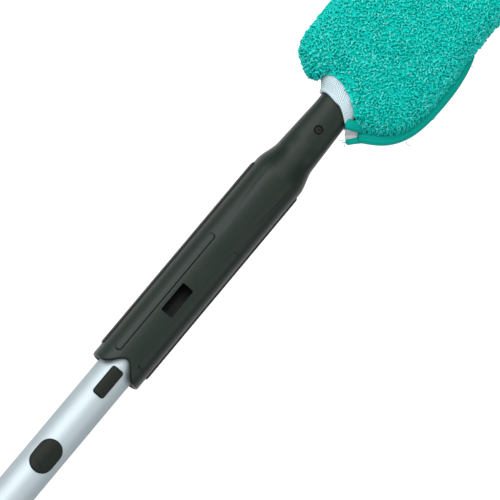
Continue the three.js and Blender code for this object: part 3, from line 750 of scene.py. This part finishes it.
knit = Finish("white_knit", roughness=0.92, Specular_IOR_Level=0.2)
fuzz = knit.noise(900, detail=3)
knit_shade = knit.noise(55, detail=2)
own_map = knit.step("ShaderNodeUVMap", {"uv_map": "UVMap"})
round_cuff = knit.step("ShaderNodeSeparateXYZ", {}, own_map, output=0)
up_cuff = knit.step("ShaderNodeSeparateXYZ", {}, own_map, output=1)
outer_share = len(rise) / (len(rise) + len(inside[::-4]))
eyelets = knit.wave(round_cuff, CUFF_WALES) * knit.wave(up_cuff, CUFF_COURSES / outer_share)
yarn_white = knit.mix(fuzz * 0.6 + knit_shade * 0.4, (0.46, 0.575, 0.61), (0.57, 0.68, 0.715))
knit.set("Base Color", knit.mix(eyelets, yarn_white, (0.07, 0.11, 0.14)))
knit.bump(fuzz, 0.12 * MM, 0.6)
cuff.data.materials.append(knit.material)
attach(cuff, "wand")
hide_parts("cuff_band")

# ------------------------------------------------------------------ terry sleeve
# The sleeve is a flat stuffed bag of green looped terry, drawn over the bending frame. It is made
# in three stretches, parted where no hinge is, each lying across one hinge of the frame; nothing
# here makes a stretch bend with the frame. A stretch is a pillow of backing cloth, open at the
# mouth, with the yarn loops standing on it.
SLEEVE_HALF, SLEEVE_THICK, SLEEVE_TIP = 44.6, 15.9, 710.4
SLEEVE_EDGE, SLEEVE_HEM, SLEEVE_CLOTH = 18.0, 0.05, 1.3
EDGE_POWER, MOUTH_POWER = 2.1, 2.5
PARTINGS = (375.0, 535.0)
MOUTH = {"middle": 3.1, "half": 18.4, "height": 14.5, "end": 252, "fade": 10}
LOOP_PITCH, ROW_PITCH, LOOP_SEED = 1.98, 1.72, 7
LOOP_HALF_SPAN, LOOP_HEIGHT, YARN_RADIUS = (0.65, 1.15), (2.3, 3.5), (0.50, 0.68)
LOOP_LEAN, LOOP_CURL, LOOP_SUNK, FOOT_SCATTER = 0.75, 0.35, 0.5, 0.35
LOOP_STEPS, YARN_SIDES = (0.0, 0.36, 0.68, 1.0), (30, 150, 270)
FAR_OFF = 900
SLEEVE_START = [
    (268, 44.6), (258, 44.5), (249, 44.2), (245.2, 43.9), (241.5, 43.0), (238.3, 41.6),
    (235, 39.2), (231.6, 34.6), (229, 29), (227.8, 25), (229, 21.8), (232.6, 19.8), (235, 17.2),
    (234.8, 11), (232.8, 3.3), (230.3, -2.8), (227.3, -8), (224.2, -12), (222.4, -15.8),
    (221.8, -20), (224.8, -26.3), (229.4, -33), (234.6, -38.8), (241, -43.0), (249, -45.3),
    (258, -46.4), (270, -46.6), (286, -46.0), (300, -45.0)]


def eased_path(points, count, rounds=3):
    """A line of points with its corners cut. Its new points are spaced evenly along it, or lie at
    the shares of its length that count lists."""
    points = np.array(points, float)
    for _ in range(rounds):
        start, stop = points[:-1], points[1:]
        cornered = np.stack([start * 0.75 + stop * 0.25, start * 0.25 + stop * 0.75], 1)
        points = np.concatenate([points[:1], cornered.reshape(-1, points.shape[1]), points[-1:]])
    walked = np.concatenate([[0], np.cumsum(np.linalg.norm(np.diff(points, axis=0), axis=1))])
    stops = np.linspace(0, walked[-1], count) if np.ndim(count) == 0 else count * walked[-1]
    return np.stack([np.interp(stops, walked, column) for column in points.T], 1)


def distance_to(line, places):
    """Shortest distance from each place to a line of points, in the plane."""
    start, along = line[:-1], np.diff(line, axis=0)
    flat = places.reshape(-1, 1, 2) - start
    t = np.clip((flat * along).sum(2) / np.maximum((along ** 2).sum(1), 1e-9), 0, 1)
    apart = np.hypot(*np.moveaxis(flat - t[..., None] * along, 2, 0))
    return apart.min(1).reshape(places.shape[:-1])


def pillow_height(x, y, from_edge):
    """Height of the backing cloth over the sleeve's middle plane."""
    t = np.clip((from_edge - SLEEVE_HEM) / SLEEVE_EDGE, 0, 1)
    crown = (1 - (1 - t) ** EDGE_POWER) ** (1 / EDGE_POWER)
    lumps = 0.5 * np.sin(x / 19 + 1.3 * np.sin(y / 23)) + 0.4 * np.sin(y / 11 + x / 31)
    height = SLEEVE_THICK * crown + lumps * smooth(from_edge / 12)
    reach = np.clip(abs(y - MOUTH["middle"]) / MOUTH["half"], 0, 1)
    arch = MOUTH["height"] * (1 - reach ** MOUTH_POWER) ** (1 / MOUTH_POWER)
    return np.maximum(height, arch * smooth((MOUTH["end"] - x) / MOUTH["fade"]))


def sleeve_faces(near, far, edge_line, from_near):
    """Front and back of a stretch between two lines across it."""
    share = np.asarray(from_near)[:, None, None]
    flat = near[None] * (1 - share) + far[None] * share
    height = pillow_height(flat[..., 0], flat[..., 1], distance_to(edge_line, flat))
    front = np.concatenate([flat, height[..., None]], axis=2)
    back = np.concatenate([flat, -height[..., None]], axis=2)
    return np.concatenate([front, back[:, ::-1]], axis=1)


def line_across(x, stops):
    """A straight line across the sleeve, with stops from 1 on the left to -1 on the right."""
    return np.stack([np.full(len(stops), x), SLEEVE_HALF * stops], 1)


def loops_on(front_back, random):
    """Where the yarn loops stand on a skin, spaced evenly round it, and which way they point."""
    across = np.diff(front_back, axis=1, append=front_back[:, :1])
    along = np.gradient(front_back, axis=0)
    normal = np.cross(across, along)
    normal /= np.maximum(np.linalg.norm(normal, axis=2, keepdims=True), 1e-9)
    feet, normals = [], []
    for row, places in enumerate(front_back):
        step = np.linalg.norm(across[row], axis=1)
        walked = np.concatenate([[0], np.cumsum(step)])
        count = round(walked[-1] / LOOP_PITCH)
        uneven = random.uniform(-0.3, 0.3, count)
        stops = (np.arange(count) + row % 2 / 2 + uneven) / count * walked[-1]
        closed = np.concatenate([places, places[:1]])
        turns = np.concatenate([normal[row], normal[row, :1]])
        gap = np.interp(stops, walked, np.append(
            np.linalg.norm(along[row], axis=1), np.linalg.norm(along[row, 0])))
        kept = random.uniform(0, 1, count) < gap / ROW_PITCH
        feet.append(np.stack([np.interp(stops, walked, c) for c in closed.T], 1)[kept])
        normals.append(np.stack([np.interp(stops, walked, c) for c in turns.T], 1)[kept])
    feet, normals = np.concatenate(feet), np.concatenate(normals)
    normals /= np.maximum(np.linalg.norm(normals, axis=1, keepdims=True), 1e-9)
    return feet + random.uniform(-FOOT_SCATTER, FOOT_SCATTER, feet.shape), normals


def add_pile(cloth, feet, normals, random):
    """Stands a small arch of yarn on each foot, and joins them to the backing cloth."""
    count = len(feet)
    heading = random.normal(size=(count, 3))
    along = np.cross(normals, heading)
    along /= np.linalg.norm(along, axis=1, keepdims=True)
    beside = np.cross(normals, along)
    span = random.uniform(*LOOP_HALF_SPAN, (count, 1))
    tall = random.uniform(*LOOP_HEIGHT, (count, 1))
    lean = random.normal(0, LOOP_LEAN, (count, 1))
    curl = random.normal(0, LOOP_CURL, (count, 1))
    thick = random.uniform(*YARN_RADIUS, (count, 1))
    steps = np.array(LOOP_STEPS) * math.pi
    spine = np.stack([
        feet - normals * LOOP_SUNK + along * span * math.cos(s) + normals * tall * math.sin(s)
        + beside * (lean * math.sin(s) + curl * math.sin(2 * s)) for s in steps], 1)
    forward = np.gradient(spine, axis=1)
    forward /= np.linalg.norm(forward, axis=2, keepdims=True)
    side = np.cross(forward, beside[:, None])
    side /= np.linalg.norm(side, axis=2, keepdims=True)
    other = np.cross(forward, side)
    rings = []
    for angle in np.radians(YARN_SIDES):
        rings.append(spine + thick[:, None] * (math.cos(angle) * side + math.sin(angle) * other))
    points = np.stack(rings, 2)
    index = np.arange(points[..., 0].size).reshape(points.shape[:3])
    beside_it = np.roll(index, -1, 2)
    faces = np.stack([index[:, :-1], beside_it[:, :-1], beside_it[:, 1:], index[:, 1:]], -1)
    deselect()
    bpy.ops.mesh.primitive_plane_add(size=1)
    pile = bpy.context.object
    pile.data.clear_geometry()
    placed = points.reshape(-1, 3) * MM + np.array(origin)
    pile.data.from_pydata(placed, [], faces.reshape(-1, 4))
    height = np.broadcast_to(np.sin(steps)[None, :, None], points.shape[:3])
    # A random pick for each loop. The material uses it to choose the loops whose tops get a painted
    # highlight.
    glint_pick = np.broadcast_to(random.uniform(0, 1, (count, 1, 1)), points.shape[:3])
    for name, values in (("yarn_height", height), ("yarn_glint_pick", glint_pick)):
        cloth.data.attributes.new(name, "FLOAT", "POINT")
        attribute = pile.data.attributes.new(name, "FLOAT", "POINT")
        attribute.data.foreach_set("value", values.astype(np.float32).ravel())
    pile.data.shade_smooth()
    pick(cloth, pile)
    bpy.ops.object.join()


terry = Finish("green_terry", roughness=0.95, Specular_IOR_Level=0.06)
yarn_height = terry.step("ShaderNodeAttribute", {"attribute_name": "yarn_height"}, output="Fac")
yarn_glint_pick = terry.step("ShaderNodeAttribute", {"attribute_name": "yarn_glint_pick"}, output="Fac")
patches = terry.noise(28, detail=3)
fibre = terry.noise(1400, detail=2)
# Painted highlight: the tops of about half the loops, picked at random and gathered in noise
# patches, are lightened towards a pale teal, as if light caught them. Root and top colours are set
# almost alike, with the roots a touch greener, as a painted fill against the shade between the
# loops.
lit = terry.step("ShaderNodeMapRange", {}, yarn_glint_pick, 0.55, 1.0, 0.0, 1.0) * yarn_height
yarn = terry.mix(
    yarn_height * 0.8 + patches * 0.25, (0.000, 0.520, 0.445), (0.001, 0.510, 0.450))
terry.set("Base Color", terry.mix(
    lit * (patches * 1.5) + fibre * 0.08, yarn, (0.110, 0.650, 0.600)))
terry.bump(fibre, 0.15 * MM, 0.5)

random = np.random.default_rng(LOOP_SEED)
start_edge = np.concatenate([
    [(x, SLEEVE_HALF) for x in (FAR_OFF, 420, 340)], eased_path(SLEEVE_START, 120),
    [(x, -SLEEVE_HALF) for x in (320, 420, FAR_OFF)]])
tip_middle = SLEEVE_TIP - SLEEVE_HALF
tip_arc = [
    (tip_middle + SLEEVE_HALF * math.cos(a), SLEEVE_HALF * math.sin(a))
    for a in np.radians(np.linspace(90, -90, 49))]
tip_edge = np.array([(0, SLEEVE_HALF), *tip_arc, (0, -SLEEVE_HALF)])
side_edge = np.array([
    (-100, SLEEVE_HALF), (FAR_OFF, SLEEVE_HALF), (FAR_OFF, -SLEEVE_HALF), (-100, -SLEEVE_HALF)])


def tip_line(stops):
    """The rounded far end, from the left side round to the right."""
    before = tip_middle - 20
    outline = [(before, SLEEVE_HALF), *tip_arc, (before, -SLEEVE_HALF)]
    return eased_path(outline, (1 - stops) / 2, rounds=0)


def stretch_lines(index, stops):
    """The two lines across that a stretch lies between, and the sleeve's edge beside it."""
    first, second = (line_across(parting, stops) for parting in PARTINGS)
    if index == 0:
        return eased_path(SLEEVE_START, (1 - stops) / 2), first, start_edge
    if index == 1:
        return first, second, side_edge
    return second, tip_line(stops), tip_edge


def rows_of_loops(index):
    """Where the rows of loops lie between a stretch's two lines, spaced evenly over its surface."""
    shares = np.linspace(0, 1, 801)
    skin = sleeve_faces(*stretch_lines(index, np.linspace(1, -1, 15)), shares)
    steps = np.linalg.norm(np.diff(skin, axis=0), axis=2).max(axis=1)
    walked = np.concatenate([[0], np.cumsum(steps)])
    count = math.ceil(walked[-1] / ROW_PITCH)
    return np.interp(np.linspace(0, walked[-1], count + 1), walked, shares)


sleeve_nodes = (("sleeve_root",), ("sleeve_1", "sleeve_2"), ("sleeve_3",))
cloth_stops, fine_stops = (
    np.sin(np.linspace(math.pi / 2, -math.pi / 2, count)) for count in (45, 161))
edge_rows = np.array([0, 0.1, 0.4, 0.9, 1.6, 2.6, 4, 6, 8.5, 11.5, 15, 19, 24, 30]) / 150
for index, nodes in enumerate(sleeve_nodes):
    rows = {
        0: np.concatenate([edge_rows, np.linspace(0.24, 1, 22)]),
        1: np.linspace(0, 1, 28),
        2: np.concatenate([np.linspace(0, 0.76, 22), 1 - edge_rows[::-1]])}[index]
    faces = sleeve_faces(*stretch_lines(index, cloth_stops), rows)
    cloth = shaped_grid(f"sleeve_stretch_{index + 1}", faces, merge=0.02)
    modify(cloth, "SOLIDIFY", thickness=SLEEVE_CLOTH * MM, offset=-1, use_rim=True)
    smooth_shading(cloth, 70)
    skin = sleeve_faces(*stretch_lines(index, fine_stops), rows_of_loops(index))
    add_pile(cloth, *loops_on(skin, random), random)
    cloth.data.materials.append(terry.material)
    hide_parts(*nodes)
    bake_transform(cloth)

# ------------------------------------------------------------------ seam and flaps
# The sleeve's right seam is bound with a rolled band of smooth green knit, overlocked with thread.
# At the mouth the seam is left open, so the front and the back layer each end in a short bound
# flap, with a corner of the pale lining between them.
BINDING_PATH = [
    (217.2, -22.4, 1.2), (219.9, -26.2, 0.8), (223.2, -31.7, 0.5), (228.0, -37.7, 0.3),
    (234.6, -42.8, 0.5), (243, -46.5, 0.8), (254, -48.6, 0.8), (267, -49.4, 0.6),
    (281, -49.3, 0.4), (293, -48.0, 0.2), (302, -46.0, 0), (309, -43.4, 0)]
FRONT_FLAP_PATH = [
    (216.4, -10.4, 9.2), (218.2, -13.6, 8.6), (220, -16.6, 7.2), (221.8, -19.6, 5.0),
    (223.6, -22.4, 2.4)]
BACK_FLAP_PATH = [
    (209.4, -19.2, -1.2), (212.2, -21.2, -0.8), (215.2, -23.9, -0.4), (218.6, -27.2, -0.4)]
LINING = [(213.9, -13.4, 5.0), (221.5, -21.5, 1.0), (217.5, -25, -0.5), (210.8, -17.8, -0.5)]
THREADS = [
    [(210, -19.5, -1), (207.9, -17.6, -0.5), (206.6, -17.2, 0.6)],
    [(209.8, -18.6, -2), (208.2, -19.4, -3), (207.2, -21.2, -3)],
    [(210.4, -17.6, -1), (208.3, -16.2, 0.2), (207.6, -14.6, 0.2)],
    [(236, -48.4, 0), (234.7, -51.0, 0.6), (235.3, -53.0, 1.6)],
    [(300, -48.6, 1), (302.4, -50.4, 1.5), (302.0, -52.0, 2.6)],
    [(257, -52.0, 1), (258.4, -53.4, 1.6), (260.6, -53.6, 2.0)]]
STITCH_PITCH = 1.5
THREAD_ROWS = 11
LINING_THICK, LINING_WAVE = 0.8, 0.7


def swept(name, path, half_width, half_thick, relief=0.0, step=0.3, sides=24, taper=2.5):
    """An oval band along a line of points, rounded off at both ends, with stitches in relief."""
    rough = eased_path(path, 400)
    length = np.linalg.norm(np.diff(rough, axis=0), axis=1).sum()
    spine = eased_path(path, round(length / step) + 1)
    forward = np.gradient(spine, axis=0)
    forward /= np.linalg.norm(forward, axis=1, keepdims=True)
    side = np.cross(forward, (0, 0, 1))
    side /= np.linalg.norm(side, axis=1, keepdims=True)
    up = np.cross(side, forward)
    walked = np.linspace(0, length, len(spine))[:, None]
    from_end = np.clip(1 - np.minimum(walked, length - walked) / taper, 0, 1)
    swell = np.sqrt(1 - from_end ** 2)
    around = np.linspace(0, 2 * math.pi, sides + 1)[None]
    grow = relief * np.cos(2 * math.pi * walked / STITCH_PITCH + 2 * around) * swell
    places = (
        spine[:, None]
        + side[:, None] * ((half_width + grow) * swell * np.cos(around))[..., None]
        + up[:, None] * ((half_thick + grow) * swell * np.sin(around))[..., None])
    return shaped_grid(name, places)


overlock = Finish("green_overlock", roughness=0.9, Specular_IOR_Level=0.1)
thread_noise = overlock.noise(800, detail=3)
hem_shade = overlock.noise(70, detail=2)
own_map = overlock.step("ShaderNodeUVMap", {"uv_map": "UVMap"})
along_band = overlock.step("ShaderNodeSeparateXYZ", {}, own_map, output=0)
thread_rows = overlock.wave(along_band, THREAD_ROWS)
overlock.set("Base Color", overlock.mix(
    thread_noise * 0.3 + hem_shade * 0.4 + thread_rows * 0.3,
    (0.000, 0.195, 0.155), (0.000, 0.310, 0.258)))
overlock.bump(thread_noise, 0.15 * MM, 0.7)

binding = swept("seam_binding_rolled", BINDING_PATH, 4.3, 2.6, relief=0.13)
flaps = [
    swept("mouth_flap_front", FRONT_FLAP_PATH, 3.5, 2.2, relief=0.11),
    swept("mouth_flap_back", BACK_FLAP_PATH, 2.2, 1.7, relief=0.11)]
thread_size = {"half_width": 0.17, "half_thick": 0.17, "step": 0.5, "sides": 6, "taper": 0.3}
threads = [
    swept(f"loose_thread_{number}", path, **thread_size) for number, path in enumerate(THREADS, 1)]

share = np.linspace(0, 1, 13)
along_share, across_share = share[:, None, None], share[None, :, None]
corners = np.array(LINING, float)
outer_edge = corners[0] * (1 - across_share) + corners[3] * across_share
sewn_edge = corners[1] * (1 - across_share) + corners[2] * across_share
lining_places = outer_edge * (1 - along_share) + sewn_edge * along_share
waves = np.sin(across_share * 3 * math.pi) * (1 - along_share)
lining_places[..., 2] += LINING_WAVE * waves[..., 0]
lining = shaped_grid("lining_corner", lining_places)
modify(lining, "SOLIDIFY", thickness=LINING_THICK * MM, offset=0, use_rim=True)

lining_cloth = Finish("pale_lining", roughness=0.9)
weave = lining_cloth.noise(1000, detail=2)
lining_cloth.set("Base Color", lining_cloth.mix(weave, (0.34, 0.36, 0.37), (0.52, 0.55, 0.56)))
lining_cloth.bump(weave, 0.12 * MM, 0.6)

for piece, finish, slot in (
        (lining, lining_cloth, "knit"),
        *((piece, overlock, "terry") for piece in (binding, *flaps, *threads))):
    smooth_shading(piece, 75)
    piece.data.materials.append(finish.material)
    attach(piece, "wand")
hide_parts("seam_binding")

# ------------------------------------------------------------------ bending frame
# Inside the sleeve a flat frame of black nylon bends at three steel pins. The sleeve hides it,
# so its plain shapes are kept and only given their finishes.
for node in ("frame_root", "frame_link_1", "frame_link_2", "frame_link_3"):
    finish_node(node, nylon.material)
for node in ("hinge_pin_1", "hinge_pin_2", "hinge_pin_3"):
    finish_node(node, spring_steel.material)

# ------------------------------------------------------------------ lower tube and end cap
# The lower tube slides over the upper one and is drawn and anodised alike. A moulded cap closes
# its end, and a ribbed rubber grip is shrunk on above it. A nylon bush guides the upper tube.
LOWER_RADIUS, LOWER_BORE = 14.5, 13.2
LOWER_FOOT, LOWER_TIP = -478.0, -146.0
GRIP_FOOT, GRIP_TIP, GRIP_RADIUS = -470.0, -330.0, 17.6
GRIP_RINGS, GROOVE_DEPTH = 14, 1.3
CAP_FOOT, CAP_RADIUS = -500.0, 18.2
CAP_WALL_TOP, CAP_PLUG_TOP = LOWER_FOOT + 7.4, LOWER_FOOT + 23

lower_tube = turned("lower_tube_drawn", [
    (LOWER_FOOT, LOWER_BORE), (LOWER_FOOT, LOWER_RADIUS), (LOWER_TIP - TUBE_EDGE, LOWER_RADIUS),
    (LOWER_TIP, LOWER_RADIUS - TUBE_EDGE), (LOWER_TIP, LOWER_BORE), (LOWER_FOOT, LOWER_BORE)], 128)

bush_profile = eased([
    (TUBE_FOOT - 12, 0), (TUBE_FOOT - 12, LOWER_BORE - 1), (TUBE_FOOT - 11, LOWER_BORE - 0.35),
    (TUBE_FOOT - 0.3, LOWER_BORE - 0.35), (TUBE_FOOT - 0.3, bore - 0.3),
    (TUBE_FOOT + 14, bore - 0.3), (TUBE_FOOT + 15, bore - 1.3), (TUBE_FOOT + 15, 0)], 0.3)
bush = turned("glide_bush_moulded", bush_profile, 64)

grip_outline = [
    (GRIP_FOOT, LOWER_RADIUS + 0.05), (GRIP_FOOT, GRIP_RADIUS - 0.7),
    (GRIP_FOOT + 1, GRIP_RADIUS), (GRIP_FOOT + 9, GRIP_RADIUS)]
ring_pitch = (GRIP_TIP - GRIP_FOOT - 24) / GRIP_RINGS
for number in range(GRIP_RINGS):
    x = GRIP_FOOT + 10 + number * ring_pitch
    grip_outline += [
        (x, GRIP_RADIUS - GROOVE_DEPTH), (x + ring_pitch * 0.35, GRIP_RADIUS - GROOVE_DEPTH),
        (x + ring_pitch * 0.5, GRIP_RADIUS), (x + ring_pitch * 0.88, GRIP_RADIUS)]
grip_outline += [
    (GRIP_TIP - 13, GRIP_RADIUS - 0.6), (GRIP_TIP - 4, GRIP_RADIUS - 1.0),
    (GRIP_TIP, LOWER_RADIUS + 0.6), (GRIP_TIP, LOWER_RADIUS + 0.05)]
grip_profile = eased(grip_outline, 1.0, steps=3)
grip = turned("hand_grip", [*grip_profile, grip_profile[0]], 96)

cap_profile = eased([
    (CAP_FOOT + 1.2, 0), (CAP_FOOT + 1.2, 7.5), (CAP_FOOT, 9), (CAP_FOOT, 12),
    (CAP_FOOT + 2, CAP_RADIUS - 3), (CAP_FOOT + 7, CAP_RADIUS), (CAP_WALL_TOP, CAP_RADIUS),
    (CAP_WALL_TOP, LOWER_RADIUS + 0.3), (LOWER_FOOT - 0.3, LOWER_RADIUS + 0.3),
    (LOWER_FOOT - 0.3, LOWER_BORE - 0.3), (CAP_PLUG_TOP - 1, LOWER_BORE - 0.3),
    (CAP_PLUG_TOP, 11), (CAP_PLUG_TOP, 0)], 1.0)
cap = turned("end_cap_moulded", cap_profile, 96)

for piece, finish, body, node, slot in (
        (lower_tube, satin, "lower_pole", "lower_tube", "aluminium"),
        (bush, inner, "upper_pole", "glide_bush", "dark_plastic"),
        (grip, rubber, "lower_pole", "grip_sleeve", "soft_rubber"),
        (cap, moulded, "lower_pole", "end_cap", "black_plastic")):
    smooth_shading(piece, 32)
    piece.data.materials.append(finish.material)
    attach(piece, body)
    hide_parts(node)

# ------------------------------------------------------------------ twist collar
# A twist collar with finger ribs squeezes a slit collet on the upper tube, and a soft ring in
# its mouth wipes the tube as it slides. The collet's flange shows below the collar.
COLLAR_FOOT, COLLAR_TIP, COLLAR_RADIUS = -166.0, -119.0, 18.2
COLLAR_BORE, COLLAR_MOUTH, COLLAR_RIBS, COLLAR_PROUD = 17.0, 14.7, 12, 0.85
COLLET_FOOT, COLLET_TIP, COLLET_RADIUS, SLIT = -170.0, -122.3, 16.2, 1.4
FLANGE_THICK, WIPER_RADIUS = 3.2, 14.5

collar_profile = np.array(eased([
    (COLLAR_FOOT, COLLAR_BORE), (COLLAR_FOOT, COLLAR_RADIUS - 0.4),
    (COLLAR_FOOT + 0.6, COLLAR_RADIUS), (COLLAR_TIP - 6, COLLAR_RADIUS),
    (COLLAR_TIP - 2, COLLAR_RADIUS - 1), (COLLAR_TIP, COLLAR_RADIUS - 3),
    (COLLAR_TIP, COLLAR_MOUTH), (COLLAR_TIP - 2.0, COLLAR_MOUTH),
    (COLLAR_TIP - 2.0, TUBE_RADIUS + 0.5), (COLLAR_TIP - 2.8, TUBE_RADIUS + 0.5),
    (COLLAR_TIP - 2.8, COLLAR_BORE), (COLLAR_FOOT, COLLAR_BORE)], 0.5))
long_side = np.stack([
    np.linspace(COLLAR_FOOT + 0.9, COLLAR_TIP - 6.3, 40), np.full(40, COLLAR_RADIUS)], 1)
after = int(np.argmax(collar_profile[:, 0] > COLLAR_TIP - 8))
collar_profile = np.concatenate([collar_profile[:after], long_side, collar_profile[after:]])
around = np.linspace(0, 360, 241)
from_rib = abs((around + 180 / COLLAR_RIBS) % (360 / COLLAR_RIBS) - 180 / COLLAR_RIBS)
rib_shape = smooth((3.6 - from_rib) / 2.4)
collar_x, plain_radius = collar_profile.T[..., None]
from_end = np.minimum(collar_x - COLLAR_FOOT - 3, COLLAR_TIP - 9 - collar_x)
ribbed = smooth(from_end / 2.2) * (plain_radius > COLLAR_RADIUS - 0.3)
collar_radius = plain_radius + COLLAR_PROUD * ribbed * rib_shape[None]
collar = shaped_grid("twist_collar_moulded", round_pole(collar_x, collar_radius, around[None]))

ring_low, ring_high = COLLAR_TIP - 1.9, COLLAR_TIP + 0.2
ring_bore = TUBE_RADIUS + 0.06
wiper_profile = eased([
    (ring_low, ring_bore), (ring_low, WIPER_RADIUS), (ring_high - 0.8, WIPER_RADIUS),
    (ring_high, TUBE_RADIUS + 0.6), (ring_high, ring_bore), (ring_low, ring_bore)], 0.25)
wiper = turned("wiper_ring_moulded", wiper_profile, 96)

flange_top = COLLET_FOOT + FLANGE_THICK
collet_profile = eased([
    (COLLET_FOOT, LOWER_RADIUS + 0.05), (COLLET_FOOT, COLLAR_RADIUS), (flange_top, COLLAR_RADIUS),
    (flange_top, COLLET_RADIUS), (COLLET_TIP - 16, COLLET_RADIUS),
    (COLLET_TIP, COLLET_RADIUS - 1.1), (COLLET_TIP, TUBE_RADIUS + 0.3),
    (LOWER_TIP + 0.3, TUBE_RADIUS + 0.3), (LOWER_TIP + 0.3, LOWER_RADIUS + 0.05),
    (COLLET_FOOT, LOWER_RADIUS + 0.05)], 0.5, steps=3)
collet = turned("collet_moulded", collet_profile, 96)
cut(collet, block(round_cornered(COLLET_TIP - 8, 18, SLIT, 0.2, 24), -20, 20))

for piece, finish, body, node, slot in (
        (collar, moulded, "collar", "twist_collar", "black_plastic"),
        (wiper, rubber, "collar", "wiper_ring", "soft_rubber"),
        (collet, inner, "lower_pole", "collet", "dark_plastic")):
    smooth_shading(piece, 40)
    piece.data.materials.append(finish.material)
    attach(piece, body)
    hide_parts(node)
